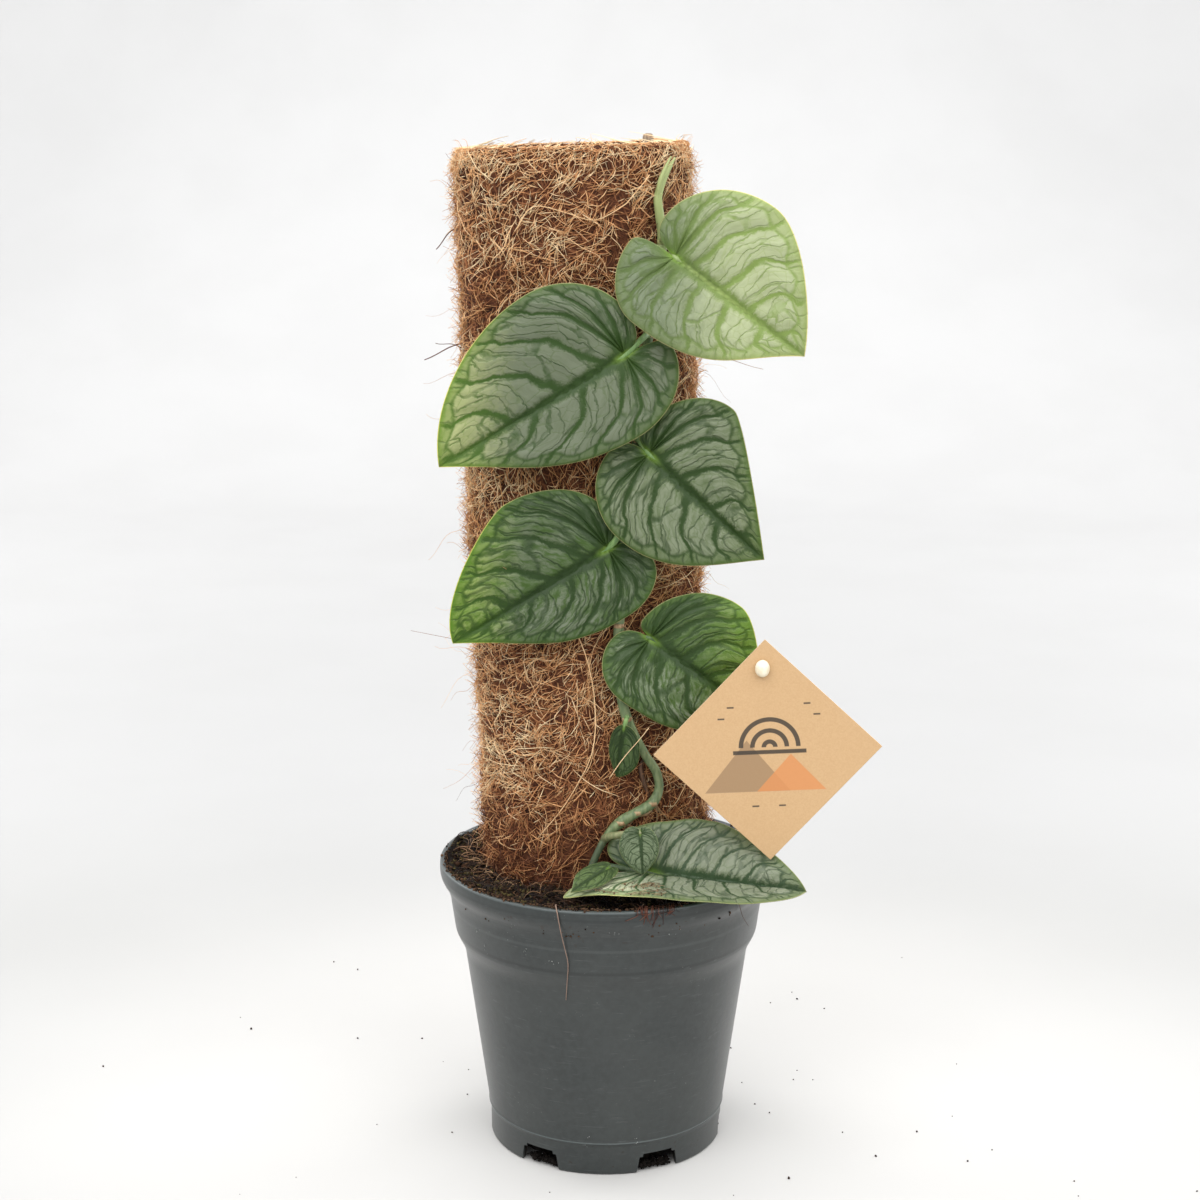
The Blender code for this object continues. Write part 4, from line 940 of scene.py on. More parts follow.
def leaf_shader(name, leaf):
    """Silver panels between dark side veins, on a satin green blade that lets light through, with painted
    backlight.
    """
    g = BladeGraph(name, leaf)
    m = blade_masks(g)
    raised = g.mul(m.band, g.mul(m.off_rib, g.mul(m.thin, m.off_loop)))
    green = g.mix(m.off_rim, leaf.green, g.mix(raised, leaf.dark, leaf.green))
    color = g.mix(silver_share(g, m), green, leaf.silver)
    shade = g.ramp(g.streak, (0.3, (0.93, 0.93, 0.93, 1.0)), (0.72, (1.06, 1.06, 1.06, 1.0)))
    color = g.tinted(color, shade)
    on_rib = g.step(g.along, 0.0, leaf.pale_rib, 0.6, 0.0)
    on_rib = g.mul(on_rib, g.step(g.rib, 0.1, 1.0, 1.0, 0.0))
    color = g.mix(on_rib, color, tuple(min(255, int(1.3 * value)) for value in leaf.green))
    joint = g.mul(g.step(g.heart, 1.0, 6.0, 0.8, 0.0), g.step(g.rib, 0.4, 2.0, 1.0, 0.1))
    color = g.mix(joint, color, (122, 156, 60))
    color = g.mix(g.step(g.rim, 0.14, 0.36, 0.7, 0.0), color, (180, 176, 120))
    # Painted backlight: the colour brightened and tinted by the leaf's shine.
    color = g.mix(painted_backlight(g), color, g.tinted(color, (*leaf.shine, 1.0)))
    below = g.mix(g.step(g.rib, 0.4, 1.4), (140, 165, 112), (112, 140, 92))
    color = g.mix(g.value("upper"), below, color)
    height = g.muladd(raised, 0.55, g.mul(m.fine, 0.14))
    normal = g.bump(g.muladd(g.streak, 0.25, height), 0.00045, 0.8)
    g.surface(color, g.step(g.streak, 0.25, 0.75, 0.34, 0.52), 0.34)
    return g.let_light_through(0.26, g.tinted(color, (232, 245, 160)), normal)


def stalk_shader(name, low, high, speck=(120, 110, 80)):
    """A green stalk: streaks along it, a waxy bloom and a few brown specks."""
    g = Graph(name)
    place = g.place()
    streak = g.noise(g.scaled(place, 1.0, 1.0, 0.2), 900.0, 3.0)
    color = g.mix(g.step(streak, 0.3, 0.7), low, high)
    young = g.step(g.split(place, "Z"), *YOUNG_HEIGHTS)
    color = g.mix(young, color, (164, 176, 116))
    old = g.step(g.split(place, "Z"), *OLD_HEIGHTS, 0.85, 0.0)
    color = g.mix(old, color, g.mix(streak, (50, 64, 48), (84, 98, 74)))
    spots = g.step(g.noise(place, 1400.0, 2.0), 0.66, 0.74)
    color = g.mix(g.mul(spots, 0.6), color, speck)
    g.bump(streak, 0.0001, 0.6)
    g.surface(color, 0.48)
    return g.let_light_through(0.12, color)


def scatter_litter(points, values):
    """Bits of coir and peat on the lobe of the lowest leaf. The points are the blade's."""
    draw = np.random.default_rng(SEED + 6)
    count = LITTER_COUNT
    column = (count, 1)
    near = (values["upper"] > 0.5) & (points[:, 0] > -0.006) & (points[:, 0] < 0.02)
    near &= (points[:, 1] < -0.047) & (values["rim"] > 0.8)
    spots = points[near][draw.integers(0, near.sum(), count)] + np.array([0.0, 0.0, 0.0002])
    crumbs = crumb_batch(draw, spots, draw.uniform(0.0002, 0.0006, count))
    share = np.linspace(-0.5, 0.5, 5)[None]
    heading = draw.uniform(-0.7, 0.9, column) + draw.normal(0, 0.5, column) * share
    x, y = lying(spots[:, 0:1], spots[:, 1:2], heading, draw.uniform(0.002, 0.006, column) * share)
    lines = np.stack([x, y, np.broadcast_to(spots[:, 2:3] + 0.0004, x.shape)], axis=-1)
    batch = (lines, np.full(x.shape, 0.00011), draw.uniform(0.2, 1.6, count))
    shader = crumb_shader("leaf_litter_bits", (84, 64, 44), (196, 172, 134))
    piece("leaf_litter", joined([crumbs, strands([batch])]), "leaf_green", shader)


def make_leaves():
    stalk = stalk_shader("petiole_green", (100, 134, 76), (130, 162, 98))
    skins = {
        "small_leaf_2": stalk_shader("petiole_cream", (118, 128, 86), (156, 156, 116)),
        "leaf_5": stalk_shader("petiole_shaded", (66, 92, 50), (92, 118, 68)),
    }
    for number, (name, leaf) in enumerate(LEAVES.items()):
        left = blade_half(leaf, leaf.left, 1, number)
        right = blade_half(leaf, leaf.right, -1, number + 5)
        points, faces, values = joined([left, right])
        mesh = array_mesh(name, points, faces, values)
        bm = bmesh.new()
        bm.from_mesh(mesh)
        bmesh.ops.remove_doubles(bm, verts=bm.verts, dist=WELD)
        bm.to_mesh(mesh)
        bm.free()
        if name == "leaf_6":
            scatter_litter(points, values)
        piece(f"{name}_blade", mesh, "leaf_green", leaf_shader(f"{name}_skin", leaf), name)
        piece(f"{name}_petiole", petiole_tube(leaf), "leaf_green", skins.get(name, stalk))


def on_coir(rows, ahead, sides):
    """A tube through rows of x, z and radius, this far in front of the coir's face."""
    rows = np.array(rows)
    depths = pole_front(rows[:, 0], rows[:, 1]) - ahead
    line = np.stack([rows[:, 0], depths, rows[:, 1]], axis=-1)
    return tubes(line[None], rows[None, :, 2], sides)


def joint_roots(draw):
    """A collar round each swollen joint of the vine, and three roots from it over the coir."""
    parts = []
    for x, y, z, factor in STEM_ROUTE[4:24]:
        if factor < 1.08:
            continue
        collar = np.array([[x, y - 0.0002, z + rise] for rise in (-0.0007, 0.0, 0.0007)])
        parts.append(tubes(collar[None], np.full((1, 3), STEM_RADIUS * factor * 1.02), 12))
        for _ in range(3):
            heading = draw.uniform(-2.6, -0.5)
            length = draw.uniform(0.004, 0.011)
            curve = heading + draw.uniform(-0.9, 0.9) * np.linspace(0, 1, 7)
            route = np.zeros((7, 3))
            route[:, 0] = x + np.cumsum(np.cos(curve)) * length / 7
            route[:, 2] = z + np.cumsum(np.sin(curve)) * length / 7
            route[:, 1] = pole_front(route[:, 0], route[:, 2]) - 0.0004
            route[0] = (x, y, z)
            parts.append(tubes(route[None], np.linspace(0.00042, 0.00016, 7)[None], 6))
    return parts


# Stem


def make_stem():
    """The vine with its sheath, the roots that hold it to the coir, and a dry scale."""
    green = stalk_shader("stem_green_skin", (92, 112, 74), (134, 148, 106), (130, 105, 75))
    vine = rod(smooth_route(STEM_ROUTE, 8), STEM_RADIUS, 14)
    sheath = rod(smooth_route(SHEATH_ROUTE, 8), STEM_RADIUS, 10)
    piece("stem_skin", joined([vine, sheath]), "stem_green", green, "stem")
    tan = stalk_shader("root_tan", (150, 118, 84), (186, 158, 120), (96, 66, 44))
    roots = joint_roots(np.random.default_rng(SEED + 1)) + [on_coir(TAN_NODE, 0.0022, 10)]
    piece("stem_roots", joined(roots), "stem_green", tan)
    brown = stalk_shader("dry_scale_skin", (64, 42, 30), (118, 84, 60), (150, 120, 90))
    line = smooth_route(SCALE_ROUTE, 5)
    radii = 0.001 * np.sin(np.linspace(0.35, 2.8, len(line)))
    line = np.concatenate([line, radii[:, None]], axis=1)
    piece("dry_scale", on_coir(line, 0.0008, 8), "stem_green", brown)


# Coir pole


def oval(angle, out=0.0):
    """The pole's outline in its own frame, this far outside its coir."""
    power = 2.0 / POLE_SQUARENESS
    cosine = np.cos(angle)
    sine = np.sin(angle)
    x = (POLE_HALF_WIDTH + out) * np.sign(cosine) * np.abs(cosine) ** power
    y = (POLE_HALF_DEPTH + out) * np.sign(sine) * np.abs(sine) ** power
    return x, y


def leaned(points):
    """From the pole's own frame to the pot's."""
    cosine = math.cos(POLE_LEAN)
    sine = math.sin(POLE_LEAN)
    x = points[..., 0] * cosine - points[..., 2] * sine
    z = points[..., 0] * sine + points[..., 2] * cosine
    return np.stack([x, points[..., 1], z], axis=-1) + np.array(POLE_PLACE)


def pole_front(x, z):
    """The y of the pole's front face, in the pot's frame."""
    centre = POLE_PLACE.x - z * math.tan(POLE_LEAN)
    share = np.clip(np.abs((x - centre) / POLE_HALF_WIDTH), 0, 0.995)
    return POLE_PLACE.y - POLE_HALF_DEPTH * (1 - share**POLE_SQUARENESS) ** (1 / POLE_SQUARENESS)


class PoleSkin:
    """Places on the coir's surface, by distance round it and height, with the source's relief."""

    def __init__(self):
        self.angles = np.linspace(0, math.tau, 1441)
        x, y = oval(self.angles)
        steps = np.hypot(np.diff(x), np.diff(y))
        self.arcs = np.concatenate([[0.0], np.cumsum(steps)])
        self.around = self.arcs[-1]
        angles = np.linspace(0, math.tau, 145)
        heights = np.linspace(SLEEVE_BOTTOM, SLEEVE_TOP, 193)
        self.relief = np.array([[self.lump(angle, z) for z in heights] for angle in angles])

    def lump(self, angle, z):
        x, y = oval(angle)
        place = Vector((float(x), float(y), float(z))) / SLEEVE_LUMP
        lumps = noise.noise(place) + 0.7 * noise.noise(place * 2.3)
        lumps *= min(1.0, max(0.0, (z - SLEEVE_BARE_Z) / 0.01))
        rounding = 0.0022 * max(0.0, 1.0 - (SLEEVE_TOP - z) / 0.006) ** 2
        return SLEEVE_RELIEF * lumps - rounding

    def offset(self, angle, z):
        """The relief here, between its four nearest grid points."""
        r = self.relief
        columns, rows = r.shape
        a = (angle % math.tau) / math.tau * (columns - 1)
        b = np.clip((z - SLEEVE_BOTTOM) / (SLEEVE_TOP - SLEEVE_BOTTOM), 0, 1) * (rows - 1)
        i = np.minimum(a.astype(int), columns - 2)
        j = np.minimum(b.astype(int), rows - 2)
        u, v = a - i, b - j
        low = r[i, j] * (1 - u) + r[i + 1, j] * u
        high = r[i, j + 1] * (1 - u) + r[i + 1, j + 1] * u
        return low * (1 - v) + high * v

    def at(self, arc, z, lift):
        """Points in the pot's frame, this far above the coir's surface."""
        angle = np.interp(arc % self.around, self.arcs, self.angles)
        x, y = oval(angle, self.offset(angle, z) + lift)
        return leaned(np.stack([x, y, z], axis=-1))


def combed(arc, z):
    """The way that the fibres mostly run here, as an angle from level."""
    wave = np.sin(arc * 61 + z * 23) + np.sin(arc * 37 - z * 51 + 1.7) + 0.7 * np.sin(z * 97 + arc * 19)
    return 0.85 + 0.42 * wave


def walked(arc, z, theta, step, back):
    """Strands that go ring by ring where theta heads, less this share of their first step."""
    arcs = arc[:, None] + (np.cumsum(np.cos(theta), axis=1) - np.cos(theta) * back) * step
    heights = z[:, None] + (np.cumsum(np.sin(theta), axis=1) - np.sin(theta) * back) * step
    return arcs, heights


def bent_over(heights, rise):
    """Heights that hardly pass the sleeve's top edge, and how far they would have passed it."""
    limit = SLEEVE_TOP - 0.0006
    over = np.maximum(0.0, heights - limit)
    return np.minimum(heights, limit) + rise * over, over


def fibre_lines(skin, draw, count, length, rings, low_z, high_z, scatter, arch, sink, bend):
    """Loose fibres that lie on the coir: their lines (count, rings, 3), and where they start."""
    column = (count, 1)
    arc = draw.uniform(0, skin.around, count)
    z = draw.uniform(low_z, high_z, count)
    heading = combed(arc, z) + draw.normal(0, scatter, count)
    loose = draw.random(count) < 0.42
    heading = np.where(loose, draw.uniform(0, math.pi, count), heading)[:, None]
    sizes = draw.uniform(*length, column)
    share = np.linspace(-0.5, 0.5, rings)[None]
    turn = draw.normal(0, 0.85 * bend, column) * share
    ripple = draw.normal(0, 0.3 * bend, column)
    ripple = ripple * np.sin(share * draw.uniform(5, 14, column) + draw.uniform(0, 6, column))
    arcs, heights = walked(arc, z, heading + turn + ripple, sizes / (rings - 1), 0.5)
    heights, over = bent_over(heights, 0.25)
    lift = draw.uniform(0.0, 1.0, column) * arch * (1 - (2 * share) ** 2)
    lift = lift - sink * (2 * np.abs(share)) ** 5 - 0.9 * over
    lift += draw.uniform(-0.0004, 0.0005, column)
    return skin.at(arcs, heights, lift), arc, z


def tufts(skin, draw, count, each, low_z):
    """Tufts of short fibres that spring from one place in the mat and fan out as they rise."""
    rings = 3
    total = count * each
    column = (total, 1)
    arc = np.repeat(draw.uniform(0, skin.around, count), each) + draw.normal(0, 0.0012, total)
    z = np.repeat(draw.uniform(low_z, SLEEVE_TOP - 0.004, count), each)
    z = z + draw.normal(0, 0.0012, total)
    heading = np.repeat(0.95 + draw.normal(0, 0.65, count), each) + draw.normal(0, 0.24, total)
    heading += np.where(np.repeat(draw.random(count) < 0.35, each), math.pi, 0.0)
    share = np.linspace(0, 1, rings)[None]
    theta = heading[:, None] + draw.normal(0, 0.45, column) * share
    step = draw.uniform(0.0028, 0.0095, column) / (rings - 1)
    arcs, heights = walked(arc, z, theta, step, 1.0)
    lift = draw.uniform(0.0008, 0.004, column) * share**1.2 - 0.001 * (1 - share)
    heights, over = bent_over(heights, 0.35)
    radii = draw.uniform(0.00008, 0.00016, column) * (1.0 - 0.6 * share**2)
    tone = tone_of(draw, arc, z, 0.12) + np.repeat(draw.normal(0.08, 0.2, count), each)
    return skin.at(arcs, heights, lift - 0.9 * over), radii, np.clip(tone, 0.02, 1.0)


def taper(draw, rings, radius, count):
    """Radii that are drawn between two and thin towards both ends."""
    share = np.linspace(-1, 1, rings)[None]
    return draw.uniform(*radius, (count, 1)) * (1 - 0.55 * np.abs(share) ** 3)


def tones(draw, middle, spread, count):
    return np.clip(draw.normal(middle, spread, count), 0, 1)


def strands(batches, sides=3):
    """The arrays of many strands. Each batch is centre lines, radii and a tone for each strand."""
    parts = []
    for centres, radii, tone in batches:
        points, faces = tubes(centres, radii, sides)
        parts.append((points, faces, {"tone": np.repeat(tone, len(points) // len(centres))}))
    return joined(parts)


def fibre_shader(name, *colors):
    """Strands, in a ramp of four colours by each strand's own tone."""
    g = Graph(name)
    place = g.place()
    streak = g.noise(place, 420.0)
    shade = g.muladd(g.sub(streak, 0.5), 0.35, g.value("tone"))
    color = g.ramp(shade, *zip((0.0, 0.3, 0.62, 1.0), colors))
    g.bump(g.noise(place, 5200.0), 0.00006, 0.5)
    g.surface(color, 0.62, 0.35)
    return g.let_light_through(0.09, color)


def mat_shader():
    """What shows between the strands: a darker mat of fibres that cross each other, its darkness partly
    painted shade of the deep gaps between the strands.
    """
    g = Graph("coir_mat")
    place = g.place()
    layers = []
    for number, (x, z) in enumerate(((0.9, 0.32), (0.35, 0.9), (0.75, -0.65))):
        across = g.mul(g.dot(place, (x, 0.4 + 0.3 * number, z)), 1500.0)
        along = g.mul(g.dot(place, (-z, 0.5, x)), 110.0)
        layers.append(g.noise(g.vector(across, along, number), 1.0))
    height = g.larger(layers[0], g.larger(layers[1], layers[2]))
    # Painted shade: the mat's low places are near black.
    color = g.ramp(height, (0.42, (36, 20, 13)), (0.58, (86, 50, 32)), (0.74, (150, 100, 66)))
    g.bump(height, 0.0008, 1.0)
    return g.surface(color, 0.9, 0.2)


def sleeve_mesh(skin, draw):
    """The mat itself: the source's shell with finer relief, its rolled top edge and its bore."""
    around, rows = 170, 170
    angles = np.linspace(0, math.tau, around, endpoint=False)
    heights = np.linspace(SLEEVE_BOTTOM, SLEEVE_TOP - 0.0002, rows)
    a, z = np.meshgrid(angles, heights, indexing="ij")
    rough = draw.normal(0, 0.00022, a.shape)
    x, y = oval(a, skin.offset(a, z) - 0.0006 + rough)
    rings = [np.stack([x, y, z], axis=-1)]
    for depth in (-0.003, -0.0048, -SLEEVE_WALL):
        top = SLEEVE_TOP - (0.0002 if depth > -SLEEVE_WALL else 0.0016)
        height = top + draw.normal(0, 0.0002, around)
        rings.append(np.stack([*oval(angles, depth), height], axis=-1)[:, None])
    for height in (SLEEVE_TOP - 0.02, SLEEVE_BOTTOM):
        ring = [*oval(angles, -SLEEVE_WALL), np.full(around, height)]
        rings.append(np.stack(ring, axis=-1)[:, None])
    grid = np.concatenate(rings, axis=1)
    index = np.arange(around * grid.shape[1]).reshape(around, -1)
    after = np.roll(index, -1, axis=0)
    corners = [index, after, np.roll(after, -1, axis=1), np.roll(index, -1, axis=1)]
    return leaned(grid).reshape(-1, 3), np.stack(corners, axis=-1).reshape(-1, 4)


def tone_of(draw, arc, z, spread):
    """Paler towards the top and, as painted light, on the lit side, redder and darker low down."""
    height = np.clip((z - SLEEVE_BARE_Z) / (SLEEVE_TOP - SLEEVE_BARE_Z), 0, 1)
    foot = 0.66 * np.clip(1 - height / 0.12, 0, 1)
    # Painted light: the lower coir on the side towards the key light, front left, is paler.
    beside_light = (arc / COIR_AROUND) % 1 - 0.6
    lit = 0.2 * np.exp(-((beside_light / 0.08) ** 2)) * np.clip(1.6 - 2 * height, 0, 1)
    patches = 0.09 * np.sin(arc * 90 + z * 60) + 0.07 * np.sin(z * 140 - arc * 50)
    top = 0.34 * np.clip((z - SLEEVE_TOP + 0.014) / 0.01, 0, 1)
    paler = 0.55 + 0.07 * height**4 + top + lit - foot
    return np.clip(paler + patches + draw.normal(0, spread, len(z)), 0.02, 1.0)


def make_coir():
    skin = PoleSkin()
    draw = np.random.default_rng(SEED)
    coir = fibre_shader("coir_strands", *COIR_COLORS)
    piece("coir_mat", sleeve_mesh(skin, draw), "coir_fibre", mat_shader(), "coir_sleeve")
    low = SLEEVE_BARE_Z - 0.018
    for number, (count, rings, length, bend) in enumerate(COIR_LAYERS):
        laid = (count, length, rings, low, SLEEVE_TOP, 0.6, 0.0012, 0.0009, bend)
        lines, arc, z = fibre_lines(skin, draw, *laid)
        radii = taper(draw, rings, (0.00008, 0.00018), count)
        layer = strands([(lines, radii, tone_of(draw, arc, z, 0.26))])
        piece(f"coir_layer_{number + 1}", layer, "coir_fibre", coir)
    clumps = tufts(skin, draw, *COIR_TUFTS, low + 0.004)
    piece("coir_tufts", strands([clumps]), "coir_fibre", coir)
    piece("coir_strays", strands(loose_batches(skin, draw, low)), "coir_fibre", coir)


def loose_batches(skin, draw, low):
    """Long bent fibres on the mat, hairs that stand off it, and what lies on the pole's top."""
    count = LONG_FIBRE_COUNT
    laid = (count, (0.012, 0.026), 11, low, SLEEVE_TOP - 0.001, 0.5, 0.002, 0.0014, 0.8)
    lines, arc, z = fibre_lines(skin, draw, *laid)
    radii = taper(draw, 11, (0.0001, 0.00018), count)
    sides = (SLEEVE_BARE_Z + 0.002, SLEEVE_TOP - 0.001)
    edge = (SLEEVE_TOP - 0.006, SLEEVE_TOP - 0.0008)
    return [
        (lines, radii, tone_of(draw, arc, z, 0.16) + 0.14),
        stray_fibres(skin, draw, SIDE_HAIR_COUNT, (0.001, 0.0052), (0.00009, 0.00014), sides, 0.55, 0.0028),
        stray_fibres(skin, draw, EDGE_HAIR_COUNT, (0.0004, 0.003), (0.00009, 0.00015), edge, 0.68, 0.0002),
        long_strays(skin, draw, LONG_HAIR_COUNT),
        top_fibres(draw, TOP_FIBRE_COUNT),
        core_litter(draw, CORE_BIT_COUNT),
        long_pale_strands(skin),
        loose_bits(),
    ]


def stray_fibres(skin, draw, count, reach, radius, heights, tone, above):
    """Short hairs whose free ends stand out of the mat."""
    column = (count, 1)
    at_side = 0.5 * skin.around * draw.integers(0, 2, count) + draw.normal(0, 0.008, count)
    arc = np.where(draw.random(count) < 0.45, at_side, draw.uniform(0, skin.around, count))
    z = draw.uniform(*heights, column)
    share = np.linspace(0, 1, 5)[None]
    lift = draw.uniform(*reach, column) * share**1.3 - 0.0008 * (1 - share)
    heading = draw.uniform(0, math.tau, column)
    drift = draw.uniform(0.002, 0.01, column) * share
    theta = heading + draw.normal(0, 0.7, column) * share
    spots = np.minimum(z + drift * np.sin(theta), SLEEVE_TOP + above)
    lines = skin.at(arc[:, None] + drift * np.cos(theta), spots, lift)
    lines[..., 2] = np.minimum(lines[..., 2], SLEEVE_TOP + 0.0002 + above)
    radii = draw.uniform(*radius, column) * (1.0 - 0.55 * share)
    return lines, radii, tones(draw, tone, 0.2, count)


def long_strays(skin, draw, count):
    """The few long hairs that stand far out of the sides, as the source's do."""
    column = (count, 1)
    side = np.where(draw.random(column) < 0.62, 0.5 * skin.around, 0.0)
    arc = side + draw.normal(0, 0.012, column)
    z = draw.uniform(0.125, SLEEVE_TOP - 0.012, column)
    share = np.linspace(0, 1, 10)[None]
    length = draw.uniform(0.007, 0.0165, column)
    climb = draw.uniform(-0.9, 0.9, column)
    lift = length * share - 0.001 * (1 - share)
    heights = z + climb * length * share**1.6 + 0.0008 * np.sin(share * 9 + z * 900)
    drift = draw.normal(0, 0.5, column) * length * share**2
    lines = skin.at(arc + drift, heights, lift)
    radii = draw.uniform(0.00006, 0.00011, column) * (1.0 - 0.6 * share)
    return lines, radii, tones(draw, 0.55, 0.25, count)


def top_fibres(draw, count):
    """Fibres that lie over the sleeve's top edge and across the core."""
    rings = 7
    column = (count, 1)
    angle = draw.uniform(0, math.tau, column)
    depth = draw.uniform(-0.001, SLEEVE_WALL - 0.001, column)
    share = np.linspace(-0.5, 0.5, rings)[None]
    way = draw.uniform(0.004, 0.013, column) * share
    heading = angle + math.pi / 2 + draw.normal(0, 0.9, column)
    heading = heading + draw.normal(0, 0.8, column) * share
    x, y = lying(*oval(angle, -depth), heading, way)
    radial = np.abs(x / POLE_HALF_WIDTH) ** POLE_SQUARENESS
    radial = radial + np.abs(y / POLE_HALF_DEPTH) ** POLE_SQUARENESS
    radial = radial ** (1 / POLE_SQUARENESS)
    over = np.maximum(0.0, radial - TOP_EDGE)
    widest = TOP_EDGE + np.minimum(over, 0.02)
    x = x * widest / np.maximum(radial, widest)
    y = y * widest / np.maximum(radial, widest)
    z = SLEEVE_TOP + draw.uniform(-0.0012, 0.0004, column) * (1 - 4 * share**2)
    z = z - 0.03 * over - np.minimum(0.004, 0.04 * np.maximum(0.0, 0.8 - radial))
    radii = taper(draw, rings, (0.00009, 0.00018), count)
    return leaned(np.stack([x, y, z], axis=-1)), radii, tones(draw, 0.6, 0.2, count)


def core_litter(draw, count):
    """Short chopped fibres on the core's top, inside the sleeve."""
    rings = 3
    column = (count, 1)
    angle = draw.uniform(0, math.tau, column)
    reach = draw.random(column) ** 0.5
    x, y = oval(angle, -SLEEVE_WALL - 0.001)
    share = np.linspace(-0.5, 0.5, rings)[None]
    heading = draw.uniform(0, math.pi, column) + draw.normal(0, 0.6, column) * share
    length = draw.uniform(0.002, 0.008, column) * (1.15 - reach)
    x, y = lying(x * reach, y * reach, heading, length * share)
    z = SLEEVE_TOP - CORE_RECESS + draw.uniform(0.0001, 0.0012, column) * (1 - 2 * share**2)
    radii = taper(draw, rings, (0.00009, 0.00022), count)
    return leaned(np.stack([x, y, z], axis=-1)), radii, tones(draw, 0.22, 0.2, count)


def long_pale_strands(skin):
    """The coarse pale strand that runs down the lower front, and one that loops near the top."""
    front = 0.75 * skin.around
    rows = []
    for spots, lift in PALE_STRANDS:
        route = smooth_route(spots, 4)
        centre = -route[:, 1] * math.tan(POLE_LEAN) + POLE_PLACE.x
        arc = front + route[:, 0] - centre
        rows.append(skin.at(arc, route[:, 1], np.full(len(route), lift)))
    lines = np.stack(rows)
    lines[..., 1] = np.minimum(lines[..., 1], -0.022)
    return lines, np.full(lines.shape[:2], 0.00021), np.array([0.8, 0.78])


def loose_bits():
    """A straight pale fibre in front of the first small leaf, and hairs off the pole's sides."""
    share = np.linspace(0, 1, 8)[:, None]
    lines = np.array([np.array(a) * (1 - share) + np.array(b) * share for a, b, _, _ in LOOSE_BITS])
    lines[1:, :, 2] += 0.0006 * np.sin(share[:, 0] * 5.0)
    radii = np.array([width for _, _, _, width in LOOSE_BITS])[:, None] * np.linspace(1.0, 0.7, 8)
    return lines, radii, np.array([tone for _, _, tone, _ in LOOSE_BITS])


def make_pole_ends():
    """The core's dark top and the grey butt of the cane that stands in it."""
    g = Graph("core_fibre")
    grain = g.noise(g.place(), 700.0, 4.0, 0.7)
    color = g.mix(g.step(grain, 0.3, 0.7), (34, 21, 14), (88, 58, 38))
    g.bump(grain, 0.001)
    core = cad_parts["pole_core"].data
    core.materials.clear()
    core.materials.append(g.surface(color, 0.95))
    g = Graph("cane_skin")
    grain = g.noise(g.scaled(g.place(), 1.0, 1.0, 0.12), 1600.0, 3.0)
    color = g.mix(g.step(grain, 0.25, 0.75), (112, 92, 74), (168, 148, 124))
    g.bump(grain, 0.0002)
    top = SLEEVE_TOP + CANE_PROUD
    heights = (top - CANE_LENGTH, top - 0.0014, top - 0.0005, top - 0.0001)
    centres = leaned(np.array([(CANE_PLACE.x, CANE_PLACE.y, height) for height in heights]))
    shape = tubes(centres[None], np.array([[1.0, 1.0, 0.86, 0.45]]) * CANE_RADIUS, 20)
    piece("cane_butt", shape, "cane_wood", g.surface(color, 0.75), "pole_cane")


# Pot and soil


def pot_outer_profile():
    return [
        (RIM_RADIUS - 0.0004, POT_HEIGHT),
        (RIM_RADIUS, POT_HEIGHT - 0.0005),
        (RIM_RADIUS, POT_HEIGHT - LIP_HEIGHT),
        (RIM_RADIUS - 0.0008, POT_HEIGHT - LIP_HEIGHT - 0.0022),
        (BAND_TOP_RADIUS + 0.0011, BAND_TOP_Z + 0.0034),
        (BAND_TOP_RADIUS, BAND_TOP_Z),
        (BAND_FOOT_RADIUS, BAND_FOOT_Z),
        (BAND_FOOT_RADIUS - 0.0008, BAND_FOOT_Z - 0.0016),
        (BODY_TOP_RADIUS + 0.0008, BODY_TOP_Z + 0.0014),
        (BODY_TOP_RADIUS, BODY_TOP_Z - 0.0012),
        (BODY_FOOT_RADIUS, RIDGE_Z + 0.0006),
        (BODY_FOOT_RADIUS + 0.0004, RIDGE_Z),
        (FOOT_RADIUS, RIDGE_Z - 0.0009),
        (FOOT_RADIUS, 0.0),
    ]


def pot_inner_radius(z):
    outer = pot_outer_profile()
    for (r_top, z_top), (r_low, z_low) in zip(outer[1:-1], outer[2:]):
        if z_low <= z <= z_top and z_top > z_low:
            share = (z - z_low) / (z_top - z_low)
            return r_low + (r_top - r_low) * share - POT_WALL
    return RIM_RADIUS - POT_WALL


def rounded(profile, cut=0.35, longest=0.0007):
    """The profile with each corner cut twice, so that it shades as a moulded edge."""
    for _ in range(2):
        points = [profile[0]]
        for before, corner, after in zip(profile, profile[1:], profile[2:]):
            for other in (before, after):
                span = math.dist(corner, other)
                share = min(cut, longest / span) if span else 0.0
                points.append(tuple(c + (o - c) * share for c, o in zip(corner, other)))
        points.append(profile[-1])
        profile = points
        longest *= 0.4
    return profile


def lathe(name, profile, steps):
    """A closed profile of (radius, z) turned about Z. It starts and ends on the axis."""
    angles = np.linspace(0, math.tau, steps, endpoint=False)
    turns = [(math.cos(angle), math.sin(angle)) for angle in angles]
    bm = bmesh.new()
    rows = []
    for radius, z in profile:
        if radius < 1e-6:
            rows.append([bm.verts.new((0.0, 0.0, z))] * steps)
        else:
            rows.append([bm.verts.new((radius * x, radius * y, z)) for x, y in turns])
    for upper, lower in zip(rows, rows[1:]):
        for i in range(steps):
            j = (i + 1) % steps
            corners = [upper[i], lower[i], lower[j], upper[j]]
            corners = [c for k, c in enumerate(corners) if c not in corners[:k]]
            if len(corners) > 2:
                bm.faces.new(corners)
    bmesh.ops.recalc_face_normals(bm, faces=bm.faces)
    return mesh_of(bm, name)


